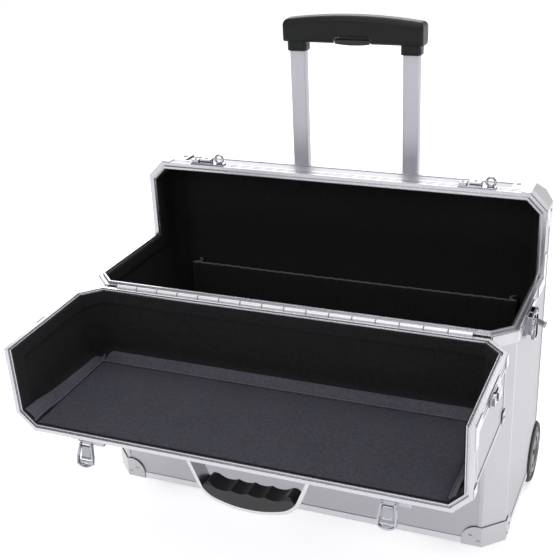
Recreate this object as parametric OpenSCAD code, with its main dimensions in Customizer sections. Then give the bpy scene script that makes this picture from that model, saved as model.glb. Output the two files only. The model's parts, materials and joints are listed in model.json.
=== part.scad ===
// Rolling business case: a hard, wheeled travel case with a front-hinged L-shaped lid,
// shown with the lid swung fully open. X is the width, the front faces -Y, Z is up, floor at 0.

/* [Case body] */
// Overall width over the rim faces
case_w = 482; // [420:2:540]
// Depth from the front rim face to the back panel
case_d = 214; // [190:2:240]
// Height of the body over the top rim face
case_h = 351; // [320:1:400]
// Ground clearance under the body
foot_h = 26; // [20:1:30]
// Height of the hinge line above the body's underside
split_h = 256; // [220:2:280]
// Depth of the lid region behind the front rim face
split_d = 158; // [140:2:170]
// Bevel along the top edges that run front to back
top_bevel = 18; // [10:1:24]
// Bevel of the two upright front edges
front_bevel = 21; // [12:1:26]
// Bevel of the back edges
back_bevel = 18; // [10:1:24]
// Thickness of the laminated panels
wall_t = 4; // [3:0.5:6]
// Thickness of the inner lining
lining_t = 1.5; // [1:0.25:2.5]
// Height of the trim strip round the bottom
strip_h = 8; // [5:1:14]
// How far edge profiles stand proud of the panels
profile_out = 0.6; // [0.3:0.1:1.2]
// Flat return of an edge profile beside its bevel
profile_ret = 4; // [2:1:8]

/* [Pocket] */
// Half width of the pocket on the back wall
pocket_x = 208; // [150:2:212]
// Height of the pocket's edge above the body's underside
pocket_h = 209; // [120:1:240]
// Depth of the pocket down from its edge
pocket_deep = 149; // [60:1:149]
// How far the pocket stands out from the back wall
pocket_d = 18; // [8:1:30]
// Thickness of the pocket fabric
pocket_t = 1.5; // [1:0.25:3]

/* [Rim] */
// How far the rim stands out from the panels
rim_out = 2; // [1:0.5:4]
// Rim thickness inward from the panel surface
rim_t = 6; // [5.5:0.5:9]
// Width of the rim's outer face
rim_w = 14; // [10:1:20]
// Width of each decorative groove in the rim face
groove_w = 1.6; // [1:0.2:3]
// Depth of each decorative groove
groove_d = 0.9; // [0.4:0.1:1.4]
// How far the lining over the rim's inner face stays back from the mouth
lip_back = 2; // [1:0.5:5]
// Gap between the two closed rims
seam = 0.2; // [0.1:0.05:0.5]
// Height of the sealing tongue on the base rim
tongue_h = 2.4; // [1.5:0.1:4]
// Thickness of the sealing tongue
tongue_t = 2.2; // [1.5:0.1:3]
// Clearance of the tongue in its groove
tongue_gap = 0.35; // [0.2:0.05:0.8]
// Thickness of the cast connector plates at the rim corners
connector_t = 0.8; // [0.4:0.1:1.5]

/* [Lid hinge] */
// Opening angle of the lid in this model
lid_open = 182; // [90:1:182]
// Radius of a hinge knuckle
knuckle_r = 2.6; // [2:0.1:4]
// Radius of the hinge pin
hinge_pin_r = 1.2; // [0.8:0.1:1.8]
// Running clearance between pin and moving knuckles
pin_gap = 0.05; // [0.02:0.01:0.1]
// Length of one knuckle
knuckle_l = 25.2; // [16:0.2:30]
// Number of knuckles along the hinge
knuckle_n = 16; // [8:2:16]
// Thickness of a hinge leaf
leaf_t = 1.2; // [0.8:0.1:1.8]

/* [Carry handle] */
// Distance between the two handle pivots
handle_span = 152; // [130:2:180]
// Drop from the pivots to the outside of the band
handle_drop = 72.5; // [66:0.5:90]
// Radius of the band's bow under the grip
bow_r = 120; // [100:5:160]
// Radius of the bends between the bow and the legs
bend_r = 32; // [26:1:36]
// Half angle of the bow
bow_a = 19; // [16:0.5:21]
// Width of the bent metal band
band_w = 20; // [14:1:28]
// Thickness of the bent metal band
band_t = 4; // [2:0.5:5]
// Thickness of the grip moulding front to back
grip_d = 22; // [18:1:32]
// Height of the grip moulding at its ends
grip_h = 29; // [26:1:32]
// Number of finger grooves in the grip
groove_n = 4; // [2:1:4]
// Spacing of the finger grooves
groove_pitch = 19; // [17:1:24]
// Radius of a finger groove
groove_r = 20; // [14:1:26]
// Height of the pivots over the lid's top panel
pivot_h = 11; // [10.5:0.5:14]
// Radius of the handle pivot pins
handle_pin_r = 2; // [1.5:0.1:3]

/* [Wheels] */
// Wheel radius over the tyre
wheel_r = 38; // [34:1:38]
// Width of a wheel
wheel_w = 22; // [16:1:26]
// Distance of the wheel centre in front of the back panel
wheel_inset = 24; // [20:1:30]
// Radius of the stub axles
axle_r = 4; // [3:0.5:6]
// Running clearance between axle and hub
axle_gap = 0.06; // [0.02:0.01:0.1]
// Clearance round a wheel inside its housing
well_gap = 2; // [1.5:0.5:4]

/* [Front feet] */
// Distance between the middles of the two feet
foot_span = 356; // [300:4:380]
// Distance of the feet in front of the body's middle
foot_back = 60; // [40:2:80]
// Width of a foot at the floor
foot_w = 30; // [20:1:44]
// Depth of a foot front to back
foot_l = 18; // [12:1:30]

/* [Trolley handle] */
// Distance between the two telescopic legs
leg_span = 137; // [120:1:150]
// Distance of the legs behind the back panel
leg_back = 20; // [16:1:26]
// Width of the upper tube
tube_w = 19.5; // [17:0.5:26]
// Depth of the upper tube
tube_d = 12; // [10:0.5:14]
// Corner radius of the upper tube
tube_r = 3; // [2.5:0.25:4]
// Clearance between the sliding tubes
tube_gap = 0.35; // [0.2:0.05:0.6]
// Wall of the tubes
tube_wall = 1.3; // [1:0.1:2]
// Running clearance of bushes and collars on the tubes
slide_gap = 0.06; // [0.02:0.01:0.1]
// Length of the outer tubes
outer_l = 300; // [260:1:310]
// Length of the upper tubes below the grip
inner_l = 291; // [270:1:320]
// Height of the grip's lower end above the floor in this model
grip_z = 502.5; // [480:0.5:560]
// Overall width of the trolley grip
grip_w = 167; // [158:1:190]
// Depth of the grip front to back
bar_d = 22; // [20:1:28]
// Thickness of the grip bar in the middle
bar_t = 31; // [28:1:36]
// Length of the sockets below the bar
socket_l = 10.5; // [8:0.5:14]
// Depth to which the tubes reach into the grip
tube_in = 14; // [10:1:20]
// Radius of the grip's crown
crown_r = 600; // [400:20:1200]
// Width of the release button
btn_w = 41; // [30:1:50]
// Travel of the release button
btn_travel = 3.5; // [2:0.5:4]
// Clearance round the release button
btn_gap = 0.1; // [0.05:0.05:0.3]

/* [Latches] */
// Distance of each top latch from the middle
latch_x = 163; // [120:1:190]
// Depth position of the side latches
side_latch_y = -22; // [-40:1:0]
// Length of a latch lever
lever_l = 30; // [26:1:34]
// Width of a lever at its pivot
lever_w = 14.8; // [13:0.2:15.2]
// Width of a lever at its thumb end
lever_flare = 19.2; // [16:0.2:19.4]
// Tilt of the open top levers toward the parting line
lever_tilt = 18; // [0:1:30]
// Droop of the side hook plates below straight out
hook_droop = 20; // [0:1:30]

/* [Hidden] */
$fn = 48;
big = 800;
e = 0.02;
z0 = foot_h;
z1 = foot_h + case_h - rim_out;
xw = case_w/2 - rim_out;
// body's middle line, set back so that the open case is centred on the origin
mid_y = 65.3;
rim_y = mid_y - case_d/2;
yf = rim_y + rim_out;
yb = mid_y + case_d/2;
split_z = z0 + split_h;
split_y = rim_y + split_d;
// hinge axis: just in front of the rim face, level with the parting plane
hinge_y = rim_y - knuckle_r;
hinge_z = split_z;
wheel_y = yb - wheel_inset;
wheel_z = wheel_r;
well_r = wheel_r + well_gap;
house_t = 2;
wheel_x = case_w/2 - wheel_w;
leg_y = yb + leg_back;
mid_w = tube_w + 2*tube_gap + 2*tube_wall;
mid_d = tube_d + 2*tube_gap + 2*tube_wall;
out_w = mid_w + 2*tube_gap + 2*tube_wall;
out_d = mid_d + 2*tube_gap + 2*tube_wall;
leg_z0 = z0 + 8;
leg_top = leg_z0 + outer_l;
mid_z0 = leg_z0 + 6;
mid_top = leg_top + 10;
mid_in_w = tube_w + 2*tube_gap;
mid_in_d = tube_d + 2*tube_gap;
k45 = 2 - sqrt(2);
alu = [0.80, 0.81, 0.83];
bright = [0.9, 0.9, 0.92];
black = [0.06, 0.06, 0.07];
grey = [0.22, 0.22, 0.24];

// world position of a point given in the lid's closed position
function lid_y(y, z) = hinge_y + (y - hinge_y)*cos(lid_open) - (z - hinge_z)*sin(lid_open);
function lid_z(y, z) = hinge_z + (y - hinge_y)*sin(lid_open) + (z - hinge_z)*cos(lid_open);

// turns parts drawn in the closed position about the hinge axis
module lid_pose() {
  translate([0, hinge_y, hinge_z]) rotate([lid_open, 0, 0]) translate([0, -hinge_y, -hinge_z])
    children();
}

// Body envelope: bevelled prisms seen from above, from the front and from the side
module plan(o) {
  a = front_bevel - k45*o;
  b = back_bevel - k45*o;
  x = xw - o;
  f = yf + o;
  k = yb - o;
  polygon([[-x, f + a], [-x + a, f], [x - a, f], [x, f + a],
           [x, k - b], [x - b, k], [-x + b, k], [-x, k - b]]);
}
module prism_xy(o) {
  translate([0, 0, -50]) linear_extrude(big) plan(o);
}
module prism_xz(o) {
  t = top_bevel - k45*o;
  x = xw - o;
  h = z1 - o;
  translate([0, big/2, 0]) rotate([90, 0, 0]) linear_extrude(big)
    polygon([[-x, z0 + o], [x, z0 + o], [x, h - t], [x - t, h], [-x + t, h], [-x, h - t]]);
}
module prism_yz(o) {
  b = back_bevel - k45*o;
  f = yf + o;
  k = yb - o;
  h = z1 - o;
  translate([-big/2, 0, 0]) rotate([90, 0, 90]) linear_extrude(big)
    polygon([[f, z0 + o], [k, z0 + o], [k, h - b], [k - b, h], [f + b, h], [f, h - b]]);
}
module envelope(o) {
  intersection() {
    prism_xy(o);
    prism_xz(o);
    prism_yz(o);
  }
}
module ring(a, b) {
  difference() {
    envelope(a);
    envelope(b);
  }
}

// Lid region of the body, grown by k
module front_top(k) {
  translate([-big/2, -big/2, split_z - k]) cube([big, big/2 + split_y + k, big]);
}
module base_band(a, b) {
  difference() {
    front_top(b);
    front_top(a);
  }
}

// Cylindrical wheel wells, from x0 outward on both sides
module wells(r, x0) {
  for (s = [-1, 1])
    translate([s*x0, wheel_y, wheel_z]) rotate([0, s*90, 0]) cylinder(r = r, h = 100, $fn = 96);
}

// Zones taken by the bevelled edge profiles
module edge_zones() {
  f = front_bevel + profile_ret;
  t = top_bevel + profile_ret;
  b = back_bevel + profile_ret;
  for (s = [0, 1]) mirror([s, 0, 0]) {
    translate([xw - f, yf - 20, -10]) cube([f + 20, f + 20, big]);
    translate([xw - b, yb - b, -10]) cube([b + 20, b + 20, big]);
    translate([xw - t, -big/2, z1 - t]) cube([t + 20, big, t + 20]);
  }
  translate([-big/2, yb - b, z1 - b]) cube([big, b + 20, b + 20]);
  translate([-big/2, yf - 20, z1 - b]) cube([big, b + 20, b + 20]);
}

module base_keep() {
  difference() {
    children();
    front_top(rim_w);
    wells(well_r + house_t, xw - 34);
  }
}

// Base: laminated panels
module base_panels() {
  color(alu) base_keep() {
    difference() {
      ring(0, wall_t);
      edge_zones();
      translate([-big/2, -big/2, z0 - 5]) cube([big, big, strip_h + 5]);
    }
  }
  color(alu) difference() {
    intersection() {
      prism_xy(wall_t);
      translate([-big/2, -big/2, z0]) cube([big, big, wall_t]);
    }
    wells(well_r + house_t, xw - 34);
  }
}
module base_edge_profiles() {
  color(bright) base_keep() {
    difference() {
      intersection() {
        ring(-profile_out, wall_t);
        edge_zones();
      }
      translate([-big/2, -big/2, z0 - 5]) cube([big, big, strip_h + 5]);
    }
  }
}
module base_bottom_strip() {
  color(bright) difference() {
    intersection() {
      prism_xy(-profile_out);
      translate([-big/2, -big/2, z0]) cube([big, big, strip_h]);
    }
    prism_xy(wall_t);
    wells(well_r + house_t, xw - 34);
  }
}

// Rims with grooves, sealing tongue and its groove
module rim_grooves(sgn) {
  for (g = [0.3, 0.62])
    intersection() {
      ring(-rim_out - 5, -rim_out + groove_d);
      if (sgn > 0) base_band(g*rim_w, g*rim_w + groove_w);
      else base_band(-g*rim_w - groove_w, -g*rim_w);
    }
}
module base_rim() {
  color(bright) difference() {
    union() {
      difference() {
        intersection() {
          ring(-rim_out, rim_t);
          front_top(rim_w);
        }
        front_top(0);
      }
      intersection() {
        ring(rim_t - 1.2 - tongue_t, rim_t - 1.2);
        base_band(-tongue_h, 0.5);
      }
    }
    rim_grooves(1);
  }
}
module lid_rim() {
  color(bright) lid_pose() difference() {
    intersection() {
      ring(-rim_out, rim_t);
      base_band(-rim_w, -seam);
    }
    intersection() {
      ring(rim_t - 1.2 - tongue_t - tongue_gap, rim_t - 1.2 + tongue_gap);
      front_top(1);
      base_band(-tongue_h - tongue_gap, 1);
    }
    rim_grooves(-1);
  }
}

// Cast connector plates over the rim corners
module corner_blocks() {
  m = 9;
  for (s = [0, 1]) mirror([s, 0, 0]) {
    translate([xw - top_bevel - m, -big/2, z1 - top_bevel - m]) cube([80, big, 80]);
    translate([xw - front_bevel + 2, yf - 40, split_z - 40]) cube([80, front_bevel + m + 40, 80]);
    translate([xw - 20, split_y - 26, split_z - 26]) cube([80, 52, 52]);
  }
}
module base_rim_corners() {
  color(alu) difference() {
    intersection() {
      ring(-rim_out - connector_t, -rim_out);
      base_band(1, rim_w - 1);
      corner_blocks();
    }
  }
}
module lid_rim_corners() {
  color(alu) lid_pose() intersection() {
    ring(-rim_out - connector_t, -rim_out);
    base_band(1 - rim_w, -1);
    corner_blocks();
  }
}

// Inner lining of the base and the fabric pocket on its back wall
// Lining turned over the rim's inner face, between a and b from the mouth, b beyond the rim
module lining_lip(a, b, rim_end) {
  intersection() {
    ring(rim_t, rim_t + lining_t);
    base_band(min(a, b), max(a, b));
  }
  intersection() {
    ring(wall_t, rim_t + lining_t);
    base_band(min(rim_end, b), max(rim_end, b));
  }
}
module base_lining() {
  color(black) union() {
    difference() {
      ring(wall_t, wall_t + lining_t);
      front_top(rim_w);
      wells(well_r + house_t, xw - 34);
    }
    lining_lip(lip_back, rim_w + lining_t, rim_w);
  }
}
module base_pocket() {
  y = yb - wall_t - lining_t;
  z = z0 + pocket_h - pocket_deep;
  color(black) intersection() {
    difference() {
      translate([-pocket_x, y - pocket_d, z]) cube([2*pocket_x, pocket_d, pocket_deep]);
      translate([-pocket_x + pocket_t, y - pocket_d + pocket_t, z + pocket_t])
        cube([2*(pocket_x - pocket_t), pocket_d - 2*pocket_t, pocket_deep]);
    }
    prism_xy(wall_t + lining_t);
  }
}
module pocket_binding() {
  y = yb - wall_t - lining_t - pocket_d;
  color(black) intersection() {
    translate([-pocket_x, y - 1.6, z0 + pocket_h - 4]) cube([2*pocket_x, 1.6, 4]);
    prism_xy(wall_t + lining_t);
  }
}

// Steel corner brackets
module bracket_zone() {
  for (s = [0, 1]) mirror([s, 0, 0]) {
    h = 25;
    x = xw - front_bevel;
    intersection() {
      translate([x - 22, yf - 10, z0 - 5]) cube([60, front_bevel + 32, h + 5]);
      union() {
        translate([x - 4, yf - 10, z0 - 5]) cube([40, front_bevel + 14, h + 5]);
        translate([x - 4, yf + 10, z0 + 7]) rotate([90, 0, 0]) cylinder(r = 18, h = 30);
        translate([xw - 5, yf + front_bevel + 4, z0 + 7]) rotate([0, 90, 0]) cylinder(r = 18, h = 20);
        translate([x - 22, yf - 10, z0 - 5]) cube([60, front_bevel + 32, 12]);
      }
    }
  }
}
module bottom_brackets() {
  color(alu) intersection() {
    difference() {
      prism_xy(-profile_out - 1.2);
      prism_xy(-profile_out);
    }
    bracket_zone();
    translate([-big/2, -big/2, z0]) cube([big, big, 60]);
  }
}
back_plate = 23;
module back_brackets() {
  m = back_plate;
  color(alu) intersection() {
    ring(-profile_out - 1.2, -profile_out);
    for (s = [0, 1]) mirror([s, 0, 0])
      translate([xw - back_bevel - m, yb - back_bevel - m, z1 - top_bevel - m]) cube([90, 90, 90]);
  }
}
module lid_brackets() {
  m = 12;
  color(alu) lid_pose() intersection() {
    ring(-profile_out - 1.2, -profile_out);
    for (s = [0, 1]) mirror([s, 0, 0])
      translate([xw - front_bevel - m, -big/2, z1 - top_bevel - m])
        cube([90, big/2 + yf + back_bevel + m, 90]);
  }
}

// Piano hinge
hinge_x0 = -knuckle_n*knuckle_l/2;
module hinge_knuckles(first, bore) {
  for (i = [first : 2 : knuckle_n - 1])
    translate([hinge_x0 + i*knuckle_l + 0.15, hinge_y, hinge_z]) rotate([0, 90, 0])
      difference() {
        cylinder(r = knuckle_r, h = knuckle_l - 0.3);
        translate([0, 0, -1]) cylinder(r = bore, h = knuckle_l + 2);
      }
}
module leaf(dir) {
  // dir -1 runs down from the axis, dir 1 runs up
  h = rim_w - 6;
  z = dir > 0 ? hinge_z + knuckle_r + 0.4 : hinge_z - knuckle_r - 0.4 - h;
  translate([hinge_x0, rim_y - leaf_t, z]) cube([knuckle_n*knuckle_l, leaf_t, h]);
}
module leaf_tabs(first, dir) {
  for (i = [first : 2 : knuckle_n - 1])
    difference() {
      translate([hinge_x0 + i*knuckle_l + 0.15, rim_y - leaf_t, hinge_z - (dir > 0 ? 0 : knuckle_r + 0.5)])
        cube([knuckle_l - 0.3, leaf_t, knuckle_r + 0.5]);
      translate([hinge_x0 - 1, hinge_y, hinge_z]) rotate([0, 90, 0])
        cylinder(r = knuckle_r - 0.1, h = knuckle_n*knuckle_l + 2);
    }
}
module hinge_base_leaf() {
  color(bright) union() {
    leaf(-1);
    leaf_tabs(0, -1);
    hinge_knuckles(0, hinge_pin_r);
  }
}
module hinge_lid_leaf() {
  color(bright) lid_pose() union() {
    leaf(1);
    leaf_tabs(1, 1);
    hinge_knuckles(1, hinge_pin_r + pin_gap);
  }
}
module hinge_pin() {
  color(bright) translate([hinge_x0, hinge_y, hinge_z]) rotate([0, 90, 0])
    cylinder(r = hinge_pin_r, h = knuckle_n*knuckle_l);
}
// Rubber stops beside the hinge hold the lid at its open angle
pad_l = 13;
pad_side = 1.4;
module hinge_stops() {
  gap = 2*knuckle_r;
  z = hinge_z - rim_w + 2;
  t = gap - (hinge_z - z)*sin(lid_open - 180) - 0.12;
  color(black) for (s = [0, 1]) mirror([s, 0, 0])
    translate([xw - front_bevel - pad_side - pad_l, rim_y - t, z]) cube([pad_l, t, rim_w - 4]);
}

// Wheel housings, axles, wheels
module wheel_housings() {
  color(black) difference() {
    union() {
      intersection() {
        envelope(0);
        wells(well_r + house_t, xw - 34);
      }
    }
    wells(well_r, xw - 32);
    for (s = [-1, 1]) translate([s*(xw - 40), wheel_y, wheel_z]) rotate([0, s*90, 0])
      cylinder(r = axle_r, h = 30);
  }
  color(black) for (s = [-1, 1]) translate([s*(xw - 32 - e), wheel_y, wheel_z]) rotate([0, s*90, 0])
    difference() {
      cylinder(r = 9, h = wheel_x - (xw - 32) - 1);
      translate([0, 0, -1]) cylinder(r = axle_r, h = 20);
    }
}
module axles() {
  color(bright) for (s = [-1, 1]) translate([s*(xw - 34), wheel_y, wheel_z]) rotate([0, s*90, 0]) {
    cylinder(r = axle_r, h = wheel_x + wheel_w - (xw - 34) - 3);
    translate([0, 0, wheel_x + wheel_w - (xw - 34) - 3.5]) cylinder(r = axle_r + 2, h = 1.5);
  }
}
module hub(s) {
  translate([s*wheel_x, wheel_y, wheel_z]) rotate([0, s*90, 0]) difference() {
    union() {
      rotate_extrude($fn = 96) polygon([[axle_r + axle_gap, 0], [11, 0], [11, 6], [26, 6], [26, 1], [31, 1],
        [31, wheel_w - 1], [28, wheel_w - 1], [27, wheel_w - 3], [25, wheel_w + 0.5], [14, wheel_w + 1.5],
        [12, wheel_w - 2], [8, wheel_w - 2], [8, wheel_w - 4.5], [axle_r + axle_gap, wheel_w - 4.5]]);
    }
    for (a = [0 : 60 : 300]) rotate(a) translate([18.5, 0, wheel_w - 6]) cylinder(r = 4.2, h = 20);
  }
}
module tyre(s) {
  translate([s*wheel_x, wheel_y, wheel_z]) rotate([0, s*90, 0])
    rotate_extrude($fn = 96) polygon([[31, 0], [35.5, 0], [wheel_r, 3], [wheel_r, wheel_w - 3],
      [35.5, wheel_w], [31, wheel_w]]);
}
module wheel_left_hub() { color(grey) hub(-1); }
module wheel_right_hub() { color(grey) hub(1); }
module wheel_left_tyre() { color(black) tyre(-1); }
module wheel_right_tyre() { color(black) tyre(1); }

// Front feet, set back under the body
foot_y = mid_y - foot_back;
module front_feet() {
  a = foot_w/2;
  color(black) for (s = [-1, 1]) translate([s*foot_span/2, foot_y + foot_l/2, 0]) rotate([90, 0, 0])
    linear_extrude(foot_l) polygon([[-a, 0], [a, 0], [a + foot_h/5, foot_h], [-a - foot_h/5, foot_h]]);
}

// Trolley handle: the tubes' rounded section, whose corner radius grows with its size
module oval(w, d, h) {
  r = tube_r + (w - tube_w)/2;
  for (a = [-1, 1]) for (b = [-1, 1]) translate([a*(w/2 - r), b*(d/2 - r), 0]) cylinder(r = r, h = h);
  translate([r - w/2, -d/2, 0]) cube([w - 2*r, d, h]);
  translate([-w/2, r - d/2, 0]) cube([w, d - 2*r, h]);
}
module oval_tube(w, d, wall, h) {
  difference() {
    oval(w, d, h);
    translate([0, 0, -1]) oval(w - 2*wall, d - 2*wall, h + 2);
  }
}
module legs() {
  for (s = [-1, 1]) translate([s*leg_span/2, leg_y, 0]) children();
}
module trolley_outer_tubes() {
  color(bright) legs() translate([0, 0, leg_z0]) oval_tube(out_w, out_d, tube_wall, leg_top - leg_z0);
}
tray_rib = 6;
module trolley_tray() {
  x = leg_span/2 + out_w/2 + tray_rib;
  rail = out_w + 2*tray_rib;
  y1 = leg_y - out_d/2;
  z = leg_z0 + 10;
  h = leg_top - leg_z0 - 30;
  color(black) difference() {
    translate([-x, yb, z]) cube([2*x, y1 - yb, h]);
    translate([rail - x, yb + 2, z + 16]) cube([2*(x - rail), leg_back, h - 32]);
  }
}
module trolley_bottom_bracket() {
  x = leg_span/2 + out_w/2 + 8;
  color(black) difference() {
    translate([-x, yb + profile_out, leg_z0 - 6])
      cube([2*x, leg_y + out_d/2 + 3 - yb - profile_out, 16]);
    legs() translate([0, 0, leg_z0]) oval(out_w, out_d, outer_l);
  }
}
collar_t = 2.5;
collar_h = 20;
module trolley_collars() {
  color(black) legs() difference() {
    union() {
      translate([0, 0, leg_top - collar_h + 4]) oval(out_w + 2*collar_t, out_d + 2*collar_t, collar_h);
      translate([-out_w/2 - collar_t, -leg_back, leg_top - collar_h + 4])
        cube([out_w + 2*collar_t, leg_back, collar_h]);
    }
    translate([0, 0, leg_top - collar_h]) oval(out_w, out_d, collar_h);
    oval(mid_w + 2*slide_gap, mid_d + 2*slide_gap, big);
  }
}
module trolley_mid_tubes() {
  color(bright) legs() translate([0, 0, mid_z0]) oval_tube(mid_w, mid_d, tube_wall, mid_top - mid_z0);
}
module trolley_mid_guides() {
  // plug in the lower end of each middle tube, and a collar on its upper end
  color(black) legs() {
    translate([0, 0, mid_z0 - 5])
      oval(out_w - 2*tube_wall - 2*slide_gap, out_d - 2*tube_wall - 2*slide_gap, 5);
    translate([0, 0, mid_z0 - 1]) oval(mid_in_w, mid_in_d, 7);
    difference() {
      translate([0, 0, leg_top + 4]) oval(mid_w + 4, mid_d + 4, 8);
      translate([0, 0, leg_top + 3]) oval(mid_w, mid_d, mid_top - leg_top - 3);
      translate([0, 0, leg_top]) oval(tube_w + 2*slide_gap, tube_d + 2*slide_gap, 20);
    }
  }
}
module trolley_inner_tubes() {
  color(bright) legs() translate([0, 0, grip_z - inner_l]) oval_tube(tube_w, tube_d, tube_wall, inner_l + tube_in);
}
module trolley_inner_guides() {
  color(black) legs() {
    translate([0, 0, grip_z - inner_l - 8]) oval(mid_in_w - 2*slide_gap, mid_in_d - 2*slide_gap, 8);
    translate([0, 0, grip_z - inner_l - 1]) oval(tube_w - 2*tube_wall, tube_d - 2*tube_wall, 9);
  }
}
// grip: a crowned bar with a socket over each tube
socket_t = 2.2;
bar_top = socket_l + bar_t;
bar_r = 6;
end_r = 8;
btn_notch = 7.7;
// the bar's section, swept at the crown's radius and rounded along its upper edges
module bar_section() {
  d = bar_d/2;
  deep = 60;
  translate([crown_r - deep, -d]) square([deep - bar_r, bar_d]);
  translate([crown_r - deep, bar_r - d]) square([deep, bar_d - 2*bar_r]);
  for (b = [-1, 1]) translate([crown_r - bar_r, b*(d - bar_r)]) circle(r = bar_r);
}
// the grip seen from the front, with rounded upper ends
module grip_front() {
  x = grip_w/2;
  h = sqrt(crown_r*crown_r - (x - end_r)*(x - end_r)) - crown_r + bar_top - end_r + 0.6;
  translate([end_r - x, 0]) square([2*(x - end_r), bar_top + 8]);
  translate([-x, 0]) square([2*x, h]);
  for (a = [-1, 1]) translate([a*(x - end_r), h]) circle(r = end_r);
}
// flat underside with bevelled long edges, seen from the end
module grip_under() {
  d = bar_d/2;
  low = 2.5;
  far = 10;
  polygon([[low - d, socket_l], [d - low, socket_l], [d + far, socket_l + low + far],
           [d + far, bar_top + far], [-d - far, bar_top + far], [-d - far, socket_l + low + far]]);
}
module trolley_grip() {
  a = 10;
  color(black) translate([0, leg_y, grip_z]) difference() {
    union() {
      intersection() {
        translate([0, 0, bar_top - crown_r]) rotate([90, 0, 0]) rotate([0, 0, 90 - a])
          rotate_extrude(angle = 2*a, $fn = 360) bar_section();
        translate([0, bar_d, 0]) rotate([90, 0, 0]) linear_extrude(2*bar_d) grip_front();
        translate([-grip_w, 0, 0]) rotate([90, 0, 90]) linear_extrude(2*grip_w) grip_under();
      }
      for (s = [-1, 1]) translate([s*leg_span/2, 0, 0])
        oval(tube_w + 2*socket_t, tube_d + 3*socket_t, socket_l + 8);
    }
    for (s = [-1, 1]) translate([s*leg_span/2, 0, -1]) oval(tube_w, tube_d, tube_in + 1);
    translate([0, bar_d, socket_l]) rotate([90, 0, 0]) linear_extrude(2*bar_d)
      polygon([[-btn_w/2 - 2.7, -1], [btn_w/2 + 2.7, -1], [btn_w/2 + 0.3, btn_notch], [-btn_w/2 - 0.3, btn_notch]]);
    translate([-btn_stem - btn_gap, -btn_stem_d - btn_gap, socket_l + 2])
      cube([2*(btn_stem + btn_gap), 2*(btn_stem_d + btn_gap), btn_notch]);
    translate([-btn_stem - 3.3, -btn_stem_d - btn_gap, socket_l + btn_notch])
      cube([2*(btn_stem + 3.3), 2*(btn_stem_d + btn_gap), 3.2 + btn_travel]);
  }
}
// release button: a bowed pad in the notch, and a lip that rests in the pocket over it
btn_stem = btn_w/2 - 4;
btn_stem_d = 5.5;
module trolley_button() {
  top = btn_notch - btn_travel - 0.2;
  color(grey) translate([0, leg_y, grip_z + socket_l]) {
    intersection() {
      translate([-btn_w/2, 1.5 - bar_d/2, -4]) cube([btn_w, bar_d - 3, 4 + top]);
      translate([0, bar_d, 0]) rotate([90, 0, 0]) linear_extrude(2*bar_d)
        translate([0, 148.2]) circle(r = 150, $fn = 360);
    }
    translate([-btn_stem, -btn_stem_d, top - 1]) cube([2*btn_stem, 2*btn_stem_d, btn_notch - top + 1.6]);
    translate([-btn_stem - 3, -btn_stem_d, btn_notch + 0.1]) cube([2*btn_stem + 6, 2*btn_stem_d, 2.6]);
  }
}

// Carry handle: pivots on the outer face of the lid's top panel
piv_zc = z1 + pivot_h;
piv_y = lid_y(mid_y, piv_zc);
piv_z = lid_z(mid_y, piv_zc);
module carry_mounts() {
  color(bright) lid_pose() for (s = [-1, 1]) translate([s*handle_span/2, mid_y, z1]) difference() {
    union() {
      translate([-11, -12, 0]) cube([22, 24, 1.6]);
      for (t = [-1, 1]) translate([t*7 - 1.25, -5, 0]) {
        cube([2.5, 10, pivot_h]);
        translate([0, 5, pivot_h]) rotate([0, 90, 0]) cylinder(r = 5, h = 2.5);
      }
    }
    translate([-12, 0, pivot_h]) rotate([0, 90, 0]) cylinder(r = handle_pin_r, h = 24);
  }
}
module carry_pins() {
  color(bright) for (s = [-1, 1]) translate([s*handle_span/2 - 8.25, piv_y, piv_z]) rotate([0, 90, 0])
    cylinder(r = handle_pin_r, h = 16.5);
}
// arch outline of the band, drawn hanging down from the pivots and drawn in by o: a bow,
// a bend each side that it meets tangentially, and straight legs that run to the pivots
bend_c = [(bow_r - bend_r)*sin(bow_a), bow_r - handle_drop - (bow_r - bend_r)*cos(bow_a)];
leg_out = handle_span/2 - bend_c[0];
leg_a = atan2(leg_out, -bend_c[1]) - asin((bend_r - band_t/2)/norm([leg_out, bend_c[1]]));
function bow_side(o, n) = concat(
  [for (i = [0 : n]) (bow_r - o)*[sin(bow_a*i/n), -cos(bow_a*i/n)] + [0, bow_r - handle_drop]],
  [for (i = [1 : n]) let (t = bow_a + (90 - leg_a - bow_a)*i/n) bend_c + (bend_r - o)*[sin(t), -cos(t)]]);
module arch(o) {
  side = bow_side(o, 12);
  end = side[len(side) - 1];
  top = end + (8 - end[1])/cos(leg_a)*[sin(leg_a), cos(leg_a)];
  half = concat(side, [top]);
  n = len(half);
  polygon(concat(half, [for (i = [n - 1 : -1 : 1]) [-half[i][0], half[i][1]]]));
}
module carry_band() {
  color(bright) translate([0, piv_y, piv_z]) difference() {
    union() {
      translate([0, band_w/2, 0]) rotate([90, 0, 0]) linear_extrude(band_w) difference() {
        arch(0);
        arch(band_t);
        translate([-big/2, -4]) square([big, 40]);
      }
      for (s = [-1, 1]) translate([s*handle_span/2, 0, 0]) {
        translate([-4.75, 0, 0]) rotate([0, 90, 0]) cylinder(r = 4.4, h = 9.5);
        translate([-4.75, -4.4, -7]) cube([9.5, 8.8, 7]);
      }
    }
    for (s = [-1, 1]) translate([s*handle_span/2 - 10, 0, 0]) rotate([0, 90, 0])
      cylinder(r = handle_pin_r + 0.06, h = 20);
  }
}
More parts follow.
